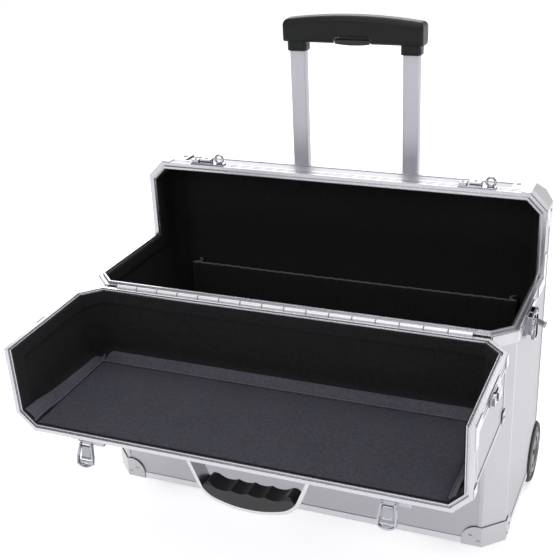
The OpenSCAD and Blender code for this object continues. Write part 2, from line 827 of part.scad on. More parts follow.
module carry_grip() {
  top = grip_h - handle_drop;
  x = groove_n*groove_pitch/2 + 8;
  r = 5;
  color(black) translate([0, piv_y, piv_z]) intersection() {
    translate([0, grip_d, 0]) rotate([90, 0, 0]) linear_extrude(2*grip_d) difference() {
      intersection() {
        arch(band_t);
        polygon([[-big, -big], [big, -big], [big, top - big], [x, top], [-x, top], [-big, top - big]]);
      }
      for (i = [0 : groove_n - 1])
        translate([(i - (groove_n - 1)/2)*groove_pitch, top - 7.5 + groove_r]) circle(r = groove_r, $fn = 96);
    }
    translate([-big/2, 0, -handle_drop]) rotate([90, 0, 90]) linear_extrude(big) union() {
      translate([r - grip_d/2, 0]) square([grip_d - 2*r, grip_h]);
      translate([-grip_d/2, r]) square([grip_d, grip_h - 2*r]);
      for (a = [-1, 1]) for (b = [r, grip_h - r]) translate([a*(grip_d/2 - r), b]) circle(r = r);
    }
  }
}

// Lid
module lid_keep() {
  lid_pose() intersection() {
    children();
    front_top(-rim_w);
  }
}
module lid_panels() {
  color(alu) lid_keep() difference() {
    ring(0, wall_t);
    edge_zones();
  }
}
module lid_edge_profiles() {
  color(bright) lid_keep() intersection() {
    ring(-profile_out, wall_t);
    edge_zones();
  }
}
module lid_lining() {
  color(black) {
    lid_keep() ring(wall_t, wall_t + lining_t);
    lid_pose() lining_lip(-seam - lip_back, -rim_w - lining_t, -rim_w);
  }
}
// Charcoal pad on the lid's floor, cut back under the lining's lip
pad_t = 4;
pad_back = 24;
module lid_floor_pad() {
  color(grey) lid_pose() intersection() {
    difference() {
      ring(wall_t + lining_t, wall_t + lining_t + pad_t);
      intersection() {
        ring(0, rim_t + lining_t);
        base_band(-rim_w - lining_t, 0);
      }
    }
    translate([-big/2, yf + pad_back, z1 - wall_t - lining_t - pad_t])
      cube([big, split_y - seam - lip_back - yf - pad_back, 20]);
    prism_xz(wall_t + lining_t + 1);
  }
}

// Latches, drawn in a local frame: x along the rim, y across it, z outward, origin on the parting line
plate_y0 = -26;
plate_w = 42;
pivot_v = -9;
pivot_w = 7.2;
lever_x = -2;
lever_t = 2;
lever_rim = 1.8;
lug_t = 1.8;
lug_x = lever_w/2 + 0.2;
lock_x = 14.8;
lock_r = 5.05;
link_w = 8;
hook_l = lever_l - 18;
module latch_plate_shape() {
  difference() {
    union() {
      translate([-plate_w/2, plate_y0, rim_out]) cube([plate_w, -plate_y0 - 2, 1.5]);
      translate([-plate_w/2, plate_y0, 0]) cube([plate_w, -plate_y0 - rim_w - 0.3, rim_out + e]);
      for (u = [-lug_x - lug_t, lug_x]) translate([lever_x + u, pivot_v - 3, rim_out + 1]) {
        cube([lug_t, 6, pivot_w - rim_out - 1]);
        translate([0, 3, pivot_w - rim_out - 1]) rotate([0, 90, 0]) cylinder(r = 3, h = lug_t);
      }
      translate([lock_x - 6.2, plate_y0 + 2, rim_out + 1]) cube([12.4, 20, 6]);
      translate([lock_x, plate_y0 + 12, rim_out + 1]) cylinder(r = 6.2, h = 7.5);
    }
    translate([lock_x, plate_y0 + 12, rim_out + 3]) cylinder(r = lock_r + 0.05, h = 20);
  }
  translate([lever_x - lug_x - lug_t, pivot_v, pivot_w]) rotate([0, 90, 0])
    cylinder(r = 1.1, h = 2*(lug_x + lug_t));
}
module lock_shape() {
  difference() {
    translate([lock_x, plate_y0 + 12, rim_out + 3]) cylinder(r = lock_r, h = 6.5);
    translate([lock_x - 0.6, plate_y0 + 8.5, rim_out + 7]) cube([1.2, 7, 5]);
  }
}
// lever outline seen from the front, running down from the pivot, drawn in by o: a straight neck,
// arms that flare, and a round thumb end
module lever_outline(o) {
  w = lever_w/2 - o;
  f = lever_flare/2 - o;
  intersection() {
    polygon([[-w, o], [w, o], [w, 4.6], [f, 18], [f, lever_l], [-f, lever_l], [-f, 18], [-w, 4.6]]);
    union() {
      translate([0, lever_l - 14]) circle(r = 14 - o, $fn = 96);
      translate([-20, -1]) square([40, lever_l - 13]);
    }
  }
}
// lever hanging outward from its pivot along +z, with a raised rim round its arms
module lever_shape() {
  difference() {
    union() {
      translate([lever_x - lever_w/2, pivot_v, pivot_w]) rotate([0, 90, 0]) cylinder(r = 2.3, h = lever_w);
      translate([lever_x, pivot_v + lever_t/2, pivot_w]) rotate([90, 0, 0])
        linear_extrude(lever_t) lever_outline(0);
      translate([lever_x, pivot_v + lever_t/2 + 2, pivot_w]) rotate([90, 0, 0])
        linear_extrude(lever_t + 2) difference() {
          lever_outline(0);
          lever_outline(lever_rim);
          translate([-20, -5]) square([40, 9]);
        }
    }
    translate([lever_x - 20, pivot_v, pivot_w]) rotate([0, 90, 0]) cylinder(r = 1.15, h = 40);
    translate([lever_x, pivot_v + 6, pivot_w]) rotate([90, 0, 0]) linear_extrude(12) intersection() {
      lever_outline(lever_rim);
      translate([-20, 5]) square([40, lever_l - 12]);
    }
    translate([lever_x - 3.2, pivot_v - 6, pivot_w + lever_l - 4.9]) cube([6.4, 12, 1.3]);
    translate([lever_x - 20, pivot_v, pivot_w + link_w]) rotate([0, 90, 0]) cylinder(r = 0.9, h = 40);
  }
}
hook_w = lever_w - 2*lever_rim - 1;
// hook plate carried inside the lever's window on its own cross pin
module hook_shape() {
  translate([lever_x, pivot_v, pivot_w + link_w]) {
    translate([-lever_w/2 - 0.3, 0, 0]) rotate([0, 90, 0]) cylinder(r = 0.85, h = lever_w + 0.6);
    translate([-hook_w/2, 0, 0]) rotate([0, 90, 0]) cylinder(r = 1.7, h = hook_w);
    translate([-hook_w/2, -0.8, 0]) cube([hook_w, 1.6, hook_l]);
    translate([-hook_w/2, 0, hook_l]) rotate([0, 90, 0]) cylinder(r = 1.5, h = hook_w);
  }
}
module catch_shape() {
  translate([-plate_w/2, 2, rim_out]) cube([plate_w, 11, 1.4]);
  translate([-plate_w/2 + 1, 3.5, rim_out + 1]) cube([8.5, 8, 4]);
  difference() {
    translate([lever_x - 6.8, 3, rim_out + 1]) cube([13.6, 9, 5.4]);
    translate([lever_x - 7.8, 2, rim_out + 2.6]) cube([15.6, 3.4, 1.9]);
  }
}
module ring_shape() {
  z = rim_out + 1.4;
  difference() {
    union() {
      translate([lock_x, 7.5, z + 5.3]) rotate([90, 0, 0]) rotate_extrude()
        translate([4.9, 0]) circle(r = 1.3, $fn = 24);
      translate([lock_x - 2.5, 5.5, z - 0.5]) cube([5, 4, 1.6]);
    }
    translate([0, 0, z - 10]) cube([30, 20, 10]);
  }
}
module on_top(s) {
  translate([s*latch_x, split_y, z1]) children();
}
// side frame: x runs along the rim, y runs up, z points outward
module on_side(s) {
  mirror([s > 0 ? 0 : 1, 0, 0]) translate([xw, mid_y + side_latch_y + lever_x, split_z]) rotate([90, 0, 90])
    mirror([1, 0, 0]) children();
}
// turns a lever about its pivot, and a hook plate about the pin it rides on
module turn_lever(a) {
  translate([0, pivot_v, pivot_w]) rotate([a, 0, 0]) translate([0, -pivot_v, -pivot_w]) children();
}
module turn_hook(a) {
  translate([0, pivot_v, pivot_w + link_w]) rotate([a, 0, 0])
    translate([0, -pivot_v, -pivot_w - link_w]) children();
}
// low rounded boss that ends the plate on the far side of the lever
module latch_boss() {
  translate([lever_x - 15, pivot_v, rim_out]) cylinder(r = 4, h = 4.5);
  translate([lever_x - 15, pivot_v - 4, rim_out]) cube([15 - lug_x, 8, 4.5]);
}
module latch_plates() {
  color(bright) lid_pose() for (s = [-1, 1]) on_top(s) {
    latch_plate_shape();
    latch_boss();
  }
}
module lock_left() { color(alu) lid_pose() on_top(-1) lock_shape(); }
module lock_right() { color(alu) lid_pose() on_top(1) lock_shape(); }
module lever_left() { color(bright) lid_pose() on_top(-1) turn_lever(-lever_tilt) lever_shape(); }
module lever_right() { color(bright) lid_pose() on_top(1) turn_lever(-lever_tilt) lever_shape(); }
module top_hook(s) {
  color(alu) lid_pose() on_top(s) turn_lever(-lever_tilt) hook_shape();
}
module hook_left() { top_hook(-1); }
module hook_right() { top_hook(1); }
module top_catches() { color(bright) for (s = [-1, 1]) on_top(s) catch_shape(); }
module top_rings() { color(bright) for (s = [-1, 1]) on_top(s) ring_shape(); }
module side_plates() {
  color(bright) for (s = [-1, 1]) on_side(s) {
    latch_plate_shape();
    translate([lock_x, plate_y0 + 12, rim_out + 2]) cylinder(r = lock_r + 0.15, h = 5.5);
  }
}
module side_lever_left() { color(bright) on_side(-1) turn_lever(90) lever_shape(); }
module side_lever_right() { color(bright) on_side(1) turn_lever(90) lever_shape(); }
module side_hook(s) { color(alu) on_side(s) turn_lever(90) turn_hook(hook_droop - 90) hook_shape(); }
module side_hook_left() { side_hook(-1); }
module side_hook_right() { side_hook(1); }
module side_catches() { color(bright) lid_pose() for (s = [-1, 1]) on_side(s) catch_shape(); }

// Domed rivets, drawn standing on a face along +z
module rivet() {
  intersection() {
    translate([0, 0, -1.6]) sphere(r = 3, $fn = 32);
    cylinder(r = 2.6, h = 4, $fn = 32);
  }
}
module base_rivets() {
  o = profile_out + 1.2;
  color(bright) for (s = [-1, 1]) {
    for (p = [[xw - front_bevel - 12, 12], [xw - front_bevel - 3, 6]])
      translate([s*p[0], yf - o, z0 + p[1]]) rotate([90, 0, 0]) rivet();
    for (p = [[front_bevel + 3, 6], [front_bevel + 13, 12]])
      translate([s*(xw + o), yf + p[0], z0 + p[1]]) rotate([0, s*90, 0]) rivet();
    translate([s*(xw - top_bevel - back_plate + 6), yb - back_bevel - 9, z1 + o]) rivet();
    translate([s*(xw + o), yb - back_bevel - 9, z1 - top_bevel - 7]) rotate([0, s*90, 0]) rivet();
    translate([s*(xw - back_bevel - 9), yb + o, z1 - top_bevel - 7]) rotate([-90, 0, 0]) rivet();
    on_top(s) {
      translate([-plate_w/2 + 5, 7.5, rim_out + 5]) scale(0.8) rivet();
      translate([lever_x, 8, rim_out + 6.4]) scale(0.8) rivet();
    }
  }
}
module lid_rivets() {
  o = profile_out + 1.2;
  color(bright) lid_pose() for (s = [-1, 1]) {
    translate([s*(xw - top_bevel - 10), yf + back_bevel + 6, z1 + o]) rivet();
    translate([s*(xw + o), yf + front_bevel + 5, z1 - top_bevel - 5]) rotate([0, s*90, 0]) rivet();
    for (t = [-1, 1]) translate([s*handle_span/2 + t*8.2, mid_y + t*9.2, z1 + 1.6]) scale(0.8) rivet();
  }
}

base_panels();
base_edge_profiles();
base_bottom_strip();
base_rim();
base_rim_corners();
base_lining();
base_pocket();
pocket_binding();
bottom_brackets();
back_brackets();
base_rivets();
hinge_base_leaf();
hinge_pin();
hinge_stops();
wheel_housings();
axles();
front_feet();
trolley_tray();
trolley_bottom_bracket();
trolley_outer_tubes();
trolley_collars();
trolley_mid_tubes();
trolley_mid_guides();
trolley_inner_tubes();
trolley_inner_guides();
trolley_grip();
trolley_button();
wheel_left_hub();
wheel_left_tyre();
wheel_right_hub();
wheel_right_tyre();
lid_panels();
lid_edge_profiles();
lid_rim();
lid_rim_corners();
lid_brackets();
lid_rivets();
lid_lining();
lid_floor_pad();
hinge_lid_leaf();
carry_mounts();
carry_pins();
carry_band();
carry_grip();
latch_plates();
lock_left();
lock_right();
lever_left();
lever_right();
hook_left();
hook_right();
top_catches();
top_rings();
side_plates();
side_lever_left();
side_lever_right();
side_hook_left();
side_hook_right();
side_catches();
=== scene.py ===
"""Dresses the rolling business case for a studio picture: its metals, cloth, mouldings, camera and light."""
import json
import logging
import math
from dataclasses import dataclass, field
from enum import Enum
from typing import Callable, Iterable, Sequence, Union

import bmesh
import bpy
from mathutils import Matrix, Vector, noise


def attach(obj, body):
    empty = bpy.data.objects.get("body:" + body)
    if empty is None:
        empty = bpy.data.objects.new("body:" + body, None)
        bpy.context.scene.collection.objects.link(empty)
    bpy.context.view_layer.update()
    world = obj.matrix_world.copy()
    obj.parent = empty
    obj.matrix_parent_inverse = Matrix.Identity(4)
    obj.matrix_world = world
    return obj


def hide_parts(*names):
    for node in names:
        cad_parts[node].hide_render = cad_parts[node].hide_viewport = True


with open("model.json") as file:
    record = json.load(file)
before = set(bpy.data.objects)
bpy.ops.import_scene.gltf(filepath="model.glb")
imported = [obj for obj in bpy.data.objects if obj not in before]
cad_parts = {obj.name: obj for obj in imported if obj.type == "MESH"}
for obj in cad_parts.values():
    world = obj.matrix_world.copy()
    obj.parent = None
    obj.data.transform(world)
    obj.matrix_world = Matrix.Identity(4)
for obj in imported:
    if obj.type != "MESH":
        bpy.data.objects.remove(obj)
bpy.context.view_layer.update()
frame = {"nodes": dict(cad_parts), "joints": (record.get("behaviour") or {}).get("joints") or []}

LOG = logging.getLogger("rolling_case")
MM = 0.001
Colour = tuple[float, float, float]


# ---------------------------------------------------------------- shader graph


class Sock:
    """An output socket of a material's node that takes part in plain arithmetic."""

    def __init__(self, graph: "Graph", out: bpy.types.NodeSocket) -> None:
        """Keeps the socket and the graph that it belongs to."""
        self.graph = graph
        self.out = out

    def _maths(self, operation: str, *terms: "Term") -> "Sock":
        """Adds one Math node over the terms and returns its result."""
        return self.graph.node("ShaderNodeMath", {"operation": operation}, dict(enumerate(terms)))

    def __add__(self, other: "Term") -> "Sock":
        """self + other"""
        return self._maths("ADD", self, other)

    def __radd__(self, other: "Term") -> "Sock":
        """other + self"""
        return self._maths("ADD", other, self)

    def __sub__(self, other: "Term") -> "Sock":
        """self - other"""
        return self._maths("SUBTRACT", self, other)

    def __rsub__(self, other: "Term") -> "Sock":
        """other - self"""
        return self._maths("SUBTRACT", other, self)

    def __mul__(self, other: "Term") -> "Sock":
        """self * other"""
        return self._maths("MULTIPLY", self, other)

    def __rmul__(self, other: "Term") -> "Sock":
        """other * self"""
        return self._maths("MULTIPLY", other, self)

    def __truediv__(self, other: "Term") -> "Sock":
        """self / other"""
        return self._maths("DIVIDE", self, other)

    def __pow__(self, other: "Term") -> "Sock":
        """self ** other"""
        return self._maths("POWER", self, other)

    def __abs__(self) -> "Sock":
        """The value without its sign."""
        return self._maths("ABSOLUTE", self)

    def sine(self) -> "Sock":
        """Sine of the value in radians."""
        return self._maths("SINE", self)

    def least(self, other: "Term") -> "Sock":
        """The smaller of the two values."""
        return self._maths("MINIMUM", self, other)

    def most(self, other: "Term") -> "Sock":
        """The larger of the two values."""
        return self._maths("MAXIMUM", self, other)

    def step(self, low: float, high: float) -> "Sock":
        """Smooth mask that rises from 0 at low to 1 at high.

        Args:
            low: value where the mask starts.
            high: value where the mask is full; below low, the mask falls instead.

        Returns:
            The mask, from 0 to 1.
        """
        start, stop, left, right = (low, high, 0.0, 1.0) if low < high else (high, low, 1.0, 0.0)
        return self.graph.node(
            "ShaderNodeMapRange", {"interpolation_type": "SMOOTHSTEP"},
            {"Value": self, "From Min": start, "From Max": stop, "To Min": left, "To Max": right})


Term = Union[float, Sock]
Wire = Union[float, Sequence[float], Sock]


class Graph:
    """One procedural material, built node by node."""

    def __init__(self, name: str) -> None:
        """Starts an empty material with a Principled surface."""
        self.material = bpy.data.materials.new(name)
        self.material.use_nodes = True
        self.tree = self.material.node_tree
        self.tree.nodes.clear()
        self.shader = self.tree.nodes.new("ShaderNodeBsdfPrincipled")
        output = self.tree.nodes.new("ShaderNodeOutputMaterial")
        self.tree.links.new(self.shader.outputs["BSDF"], output.inputs["Surface"])

    def node(self, kind: str, settings: dict[str, object] | None = None,
             wires: dict[int | str, Wire] | None = None, out: int | str = 0) -> Sock:
        """Adds a node.

        Args:
            kind: the node's type.
            settings: its own properties, set before the sockets; "stops" gives a ramp's stops.
            wires: values or links of its input sockets, by name or place.
            out: which output is wanted.

        Returns:
            The wanted output.
        """
        made = self.tree.nodes.new(kind)
        for key, value in (settings or {}).items():
            if key == "stops":
                self._set_stops(made.color_ramp, value)
            else:
                setattr(made, key, value)
        for key, value in (wires or {}).items():
            self.wire(made.inputs[key], value)
        return Sock(self, made.outputs[out])

    @staticmethod
    def _set_stops(ramp: bpy.types.ColorRamp, stops: Sequence[tuple[float, Colour]]) -> None:
        """Gives a ramp its stops, each a place and a colour."""
        while len(ramp.elements) < len(stops):
            ramp.elements.new(1.0)
        for element, (place, colour) in zip(ramp.elements, stops):
            element.position = place
            element.color = (*colour, 1.0)

    def wire(self, socket: bpy.types.NodeSocket, value: Wire) -> None:
        """Links or sets one input socket."""
        if isinstance(value, Sock):
            self.tree.links.new(value.out, socket)
        elif socket.type == "RGBA" and len(value) == 3:
            socket.default_value = (*value, 1.0)
        else:
            socket.default_value = value

    def surface(self, **sockets: Wire) -> bpy.types.Material:
        """Sets the Principled sockets, with underscores for the spaces in their names.

        Args:
            **sockets: values or links, such as Base_Color or Coat_Weight.

        Returns:
            The finished material.
        """
        for key, value in sockets.items():
            self.wire(self.shader.inputs[key.replace("_", " ")], value)
        return self.material

    # patterns that the finishes share

    def place(self) -> Sock:
        """The point in the object's own coordinates, in metres."""
        return self.node("ShaderNodeTexCoord", out="Object")

    def stretched(self, vector: Sock, scale: Sequence[float]) -> Sock:
        """The vector scaled along its three axes."""
        return self.node("ShaderNodeVectorMath", {"operation": "MULTIPLY"}, {0: vector, 1: scale})

    def cloud(self, vector: Sock, scale: float, detail: float = 2.0, rough: float = 0.5) -> Sock:
        """Noise of about 0.5 on average at the given scale per metre."""
        return self.node("ShaderNodeTexNoise", {"noise_dimensions": "3D"},
                         {"Vector": vector, "Scale": scale, "Detail": detail, "Roughness": rough})

    def parts(self, vector: Sock) -> tuple[Sock, Sock, Sock]:
        """The vector's three parts."""
        split = self.tree.nodes.new("ShaderNodeSeparateXYZ")
        self.tree.links.new(vector.out, split.inputs[0])
        return tuple(Sock(self, split.outputs[i]) for i in range(3))

    def blend(self, amount: Term, first: Wire, second: Wire) -> Sock:
        """Colour that goes from first to second as amount goes from 0 to 1."""
        mixed = self.node("ShaderNodeMix", {"data_type": "RGBA", "clamp_factor": True},
                          {0: amount, 6: first, 7: second}, out=2)
        return mixed

    def rounded(self, radius: float, samples: int = 6) -> Sock:
        """Normal that rolls over sharp edges at the given radius in metres."""
        return self.node("ShaderNodeBevel", {"samples": samples}, {"Radius": radius})

    def edge(self, soft: Sock) -> Sock:
        """Mask that is high beside an edge, from the rounded normal against the true one."""
        true = self.node("ShaderNodeNewGeometry", out="True Normal")
        dot = self.node("ShaderNodeVectorMath", {"operation": "DOT_PRODUCT"}, {0: soft, 1: true},
                        out="Value")
        return (1.0 - dot).step(0.004, 0.12)

    def occlusion_shade(self, reach: float, samples: int = 16) -> Sock:
        """Mask of painted shade from ambient occlusion: high in grooves, seams and joints narrower than the reach
        in metres.
        """
        open_sky = self.node("ShaderNodeAmbientOcclusion", {"samples": samples, "only_local": False},
                             {"Distance": reach}, out="AO")
        return (1.0 - open_sky).step(0.22, 0.85)

    def bump(self, height: Sock, depth: float, normal: Sock | None = None,
             strength: float = 1.0) -> Sock:
        """Bumped normal; depth is the height in metres that a value of 1 stands for."""
        wires: dict[int | str, Wire] = {"Height": height, "Distance": depth, "Strength": strength}
        if normal is not None:
            wires["Normal"] = normal
        return self.node("ShaderNodeBump", None, wires)


# ---------------------------------------------------------------- finishes


class Grain(Enum):
    """Direction in which a metal was drawn or brushed, as a scale along x, y and z."""

    NONE = (1.0, 1.0, 1.0)
    ALONG_X = (0.03, 1.0, 1.0)
    ALONG_Z = (1.0, 1.0, 0.03)


@dataclass(frozen=True)
class SatinMetal:
    """Anodised or brushed metal: fine drawn grain, faint smudges, bright worn edges, and painted shade in its
    grooves and seams and, when a knuckle pitch is given, at hinge knuckle gaps.
    """

    name: str
    tint: Colour
    rough: float = 0.32
    metal: float = 1.0
    grain: Grain = Grain.NONE
    grain_scale: float = 900.0
    grain_depth: float = 0.00002
    bevel: float = 0.0006
    smudge: float = 0.05
    # strength of the painted shade in grooves and seams
    painted_shade: float = 0.75
    reach: float = 0.0035
    # pitch of the hinge knuckles along x; when set, thin dark lines of painted shade are drawn at the knuckle gaps
    joint: float = 0.0

    def make(self) -> bpy.types.Material:
        """Builds the material."""
        g = Graph(self.name)
        where = g.place()
        fine = g.cloud(g.stretched(where, self.grain.value), self.grain_scale, 3.0, 0.6)
        broad = g.cloud(where, 14.0, 3.0, 0.55)
        specks = g.cloud(where, 240.0, 2.0, 0.7)
        soft = g.rounded(self.bevel)
        worn = g.edge(soft)
        shade = (broad - 0.5) * 0.10 + (fine - 0.5) * 0.06 + 0.5
        dark = tuple(c * 0.90 for c in self.tint)
        light = tuple(min(1.0, c * 1.08) for c in self.tint)
        body = g.blend(shade.step(0.40, 0.60), dark, light)
        before_shade = g.blend(worn * 0.5, body, tuple(min(1.0, c * 1.15) for c in self.tint))
        # painted shade: grooves, seams and joints between parts are darkened where the occlusion finds them
        dark = g.occlusion_shade(self.reach) * self.painted_shade
        # painted shade in the narrow gaps between hinge knuckles, drawn as dark lines at each knuckle's ends
        if self.joint:
            turn = g.parts(where)[0] * (math.pi / self.joint)
            dark = dark.most((1.0 - abs(turn.sine()).step(0.04, 0.11)) * 0.85)
        # the painted shade pulls the colour towards a deep tone of the tint
        colour = g.blend(dark, before_shade, tuple(c * 0.12 for c in self.tint))
        rough = self.rough + (broad - 0.5) * self.smudge * 2.0 + (specks - 0.5) * 0.05 + (fine - 0.5) * 0.08
        return g.surface(Base_Color=colour, Metallic=self.metal, Roughness=rough,
                         Normal=g.bump(fine, self.grain_depth, soft))


@dataclass(frozen=True)
class PolishedMetal:
    """Plated and polished metal with a few wiping marks, a painted highlight along its edges and painted shade in
    its crevices.
    """

    name: str
    tint: Colour
    rough: float = 0.12
    bevel: float = 0.0005
    reach: float = 0.003

    def make(self) -> bpy.types.Material:
        """Builds the material."""
        g = Graph(self.name)
        where = g.place()
        wipe = g.cloud(where, 60.0, 4.0, 0.6)
        pits = g.cloud(where, 700.0, 2.0, 0.6)
        soft = g.rounded(self.bevel)
        plain = g.blend(wipe.step(0.35, 0.7), tuple(c * 0.90 for c in self.tint), self.tint)
        # painted highlight: the colour lightens beside edges
        before_shade = g.blend(g.edge(soft) * 0.8, plain, tuple(min(1.0, c * 1.7) for c in self.tint))
        # painted shade: crevices are darkened where the occlusion finds them
        colour = g.blend(g.occlusion_shade(self.reach) * 0.9, before_shade, tuple(c * 0.08 for c in self.tint))
        rough = self.rough + wipe.step(0.5, 0.8) * 0.10 + (pits - 0.5) * 0.04
        return g.surface(Base_Color=colour, Metallic=1.0, Roughness=rough,
                         Normal=g.bump(wipe, 0.00006, soft))


@dataclass(frozen=True)
class Moulding:
    """Moulded plastic or rubber with a fine spark-eroded grain and paler rubbed edges."""

    name: str
    tint: Colour
    rough: float = 0.5
    grain_scale: float = 1400.0
    grain_depth: float = 0.00005
    bevel: float = 0.0009
    rub: float = 0.25
    specular: float = 0.45

    def make(self) -> bpy.types.Material:
        """Builds the material."""
        g = Graph(self.name)
        where = g.place()
        skin = g.cloud(where, self.grain_scale, 2.0, 0.5)
        dust = g.cloud(where, 26.0, 4.0, 0.6)
        soft = g.rounded(self.bevel)
        worn = g.edge(soft) * dust.step(0.35, 0.65)
        pale = tuple(c * 1.9 + 0.01 for c in self.tint)
        base = g.blend(dust.step(0.3, 0.75), tuple(c * 0.85 for c in self.tint), tuple(c * 1.12 for c in self.tint))
        colour = g.blend(worn * self.rub, base, pale)
        rough = self.rough + (dust - 0.5) * 0.12 + (skin - 0.5) * 0.10 - worn * 0.10
        return g.surface(Base_Color=colour, Roughness=rough, Specular_IOR_Level=self.specular,
                         Normal=g.bump(skin, self.grain_depth, soft))


@dataclass(frozen=True)
class Weave:
    """Plain-woven cloth: crossing threads, slubs, lint and a soft sheen."""

    name: str
    tint: Colour
    pitch: float = 0.0009
    depth: float = 0.00012
    rough: float = 0.88
    sheen: float = 0.25
    lint: float = 0.35
    mottle: float = 0.35

    def _threads(self, g: Graph, u: Sock, v: Sock) -> Sock:
        """Height of the crossing threads over the plane of two coordinates."""
        turn = math.pi / self.pitch
        across, along = (u * turn).sine(), (v * turn).sine()
        over = (across * along).step(-0.2, 0.2)
        warp, weft = 1.0 - across * across, 1.0 - along * along
        return over * warp + (1.0 - over) * weft

    def make(self) -> bpy.types.Material:
        """Builds the material."""
        g = Graph(self.name)
        where = g.place()
        x, y, z = g.parts(where)
        nx, ny, nz = (abs(n) for n in g.parts(g.node("ShaderNodeTexCoord", out="Normal")))
        faces_x = nx.step(0.55, 0.65)
        faces_y = ny.step(0.55, 0.65)
        faces_z = 1.0 - faces_x.most(faces_y)
        height = self._threads(g, y, z) * faces_x + self._threads(g, x, z) * faces_y \
            + self._threads(g, x, y) * faces_z
        slub = g.cloud(g.stretched(where, (1.0, 0.25, 1.0)), 340.0, 3.0, 0.6)
        cloud = g.cloud(where, 18.0, 4.0, 0.6)
        fluff = g.cloud(where, 900.0, 1.0, 0.5).step(0.66, 0.78)
        deep, pale = tuple(c * 0.66 for c in self.tint), tuple(c * 1.25 for c in self.tint)
        thread = g.blend(height * 0.6 + slub * 0.4, deep, pale)
        shade = g.blend(cloud.step(0.3, 0.75) * 0.35, thread, tuple(c * 1.5 + 0.004 for c in self.tint))
        warm = (self.tint[0] * 1.12, self.tint[1] * 1.08, self.tint[2] * 0.86)
        cool = (self.tint[0] * 0.96, self.tint[1] * 0.98, self.tint[2] * 1.32)
        patch = g.blend(g.cloud(where, 120.0, 3.0, 0.7).step(0.42, 0.58), warm, cool)
        felt = g.blend(g.cloud(where, 330.0, 3.0, 0.75).step(0.40, 0.60), tuple(c * 0.55 for c in self.tint), patch)
        shade = g.blend(self.mottle, shade, felt)
        colour = g.blend(fluff * self.lint * 0.25, shade, tuple(c * 3.0 + 0.02 for c in self.tint))
        lumps = height * self.depth + slub * 0.00010 + cloud * 0.0012
        return g.surface(Base_Color=colour, Roughness=self.rough, Sheen_Weight=self.sheen,
                         Sheen_Roughness=0.5, Specular_IOR_Level=0.2, Normal=g.bump(lumps, 1.0))


@dataclass(frozen=True)
class StudioPaper:
    """Pale backdrop paper."""

    name: str
    tint: Colour
    glow: float = 0.0

    def make(self) -> bpy.types.Material:
        """Builds the material."""
        g = Graph(self.name)
        cloud = g.cloud(g.place(), 3.0, 2.0, 0.5)
        colour = g.blend(cloud, self.tint, tuple(min(1.0, c * 1.01) for c in self.tint))
        return g.surface(Base_Color=colour, Roughness=0.9, Specular_IOR_Level=0.1,
                         Emission_Color=self.tint, Emission_Strength=self.glow)


Finish = Union[SatinMetal, PolishedMetal, Moulding, Weave, StudioPaper]

PANEL = SatinMetal("panel_laminate", (0.425, 0.42, 0.448), 0.42, 1.0, Grain.ALONG_Z, 700.0)
PROFILE = SatinMetal("edge_profile", (0.46, 0.455, 0.475), 0.30, 1.0)
RIM = SatinMetal("rim_extrusion", (0.54, 0.535, 0.565), 0.28, 0.95, grain_depth=0.000004, painted_shade=0.85, reach=0.0024)
# the hinge's knuckle pitch draws painted shade at its knuckle gaps
HINGE = SatinMetal("hinge_metal", (0.93, 0.92, 0.97), 0.30, 0.3, grain_depth=0.000004, painted_shade=0.45, reach=0.0022,
                   joint=0.0252)
STRIP = SatinMetal("bottom_strip", (0.62, 0.61, 0.64), 0.30, 0.9)
CASTING = PolishedMetal("corner_casting", (0.54, 0.54, 0.565), 0.18, reach=0.005)
BRACKET = SatinMetal("pressed_bracket", (0.45, 0.45, 0.465), 0.28, 1.0, painted_shade=0.9, reach=0.005)
RIVET = PolishedMetal("rivet_steel", (0.50, 0.505, 0.53), 0.22, reach=0.004)
CHROME = PolishedMetal("latch_chrome", (0.42, 0.42, 0.46), 0.10, reach=0.007)
TUBE = SatinMetal("trolley_tube", (0.60, 0.585, 0.64), 0.46, 0.4, Grain.ALONG_Z, 800.0)
BAND = SatinMetal("handle_band", (0.58, 0.58, 0.60), 0.34, 1.0, bevel=0.0009)
PIN = PolishedMetal("pin_steel", (0.42, 0.425, 0.45), 0.2)
PULL = Moulding("pull_moulding", (0.006, 0.0065, 0.007), 0.38, bevel=0.006, rub=0.9, specular=0.26)
GRIP = Moulding("grip_moulding", (0.009, 0.010, 0.011), 0.34, rub=0.6)
BUTTON = Moulding("release_button", (0.012, 0.012, 0.013), 0.38, rub=0.3)
BLACK = Moulding("black_plastic", (0.018, 0.018, 0.019), 0.5)
RUBBER = Moulding("foot_rubber", (0.016, 0.016, 0.016), 0.75, 900.0, 0.00008, specular=0.3)
TYRE = Moulding("tyre_rubber", (0.018, 0.018, 0.018), 0.6, 1000.0, 0.00006, rub=0.6)
HUB = Moulding("hub_moulding", (0.20, 0.20, 0.21), 0.4, rub=0.3)
LINING = Weave("black_lining", (0.0150, 0.0153, 0.0162), 0.0008, sheen=0.03, mottle=0.7)
POCKET = Weave("pocket_cloth", (0.0110, 0.0112, 0.0120), 0.0009, sheen=0.04, mottle=0.6)
BINDING = Weave("pocket_binding", (0.12, 0.125, 0.13), 0.0007, sheen=0.3)
PAD = Weave("charcoal_pad", (0.055, 0.055, 0.069), 0.0010, sheen=0.06, mottle=0.55)
SLOPE = Weave("charcoal_facing", (0.096, 0.091, 0.112), 0.0010, sheen=0.10, mottle=0.5)
THREAD = Weave("charcoal_thread", (0.17, 0.17, 0.20), 0.0004, sheen=0.15)
BLACK_THREAD = Weave("black_thread", (0.016, 0.016, 0.018), 0.0004, sheen=0.1)
PAPER = StudioPaper("studio_paper", (0.93, 0.93, 0.935), 0.64)

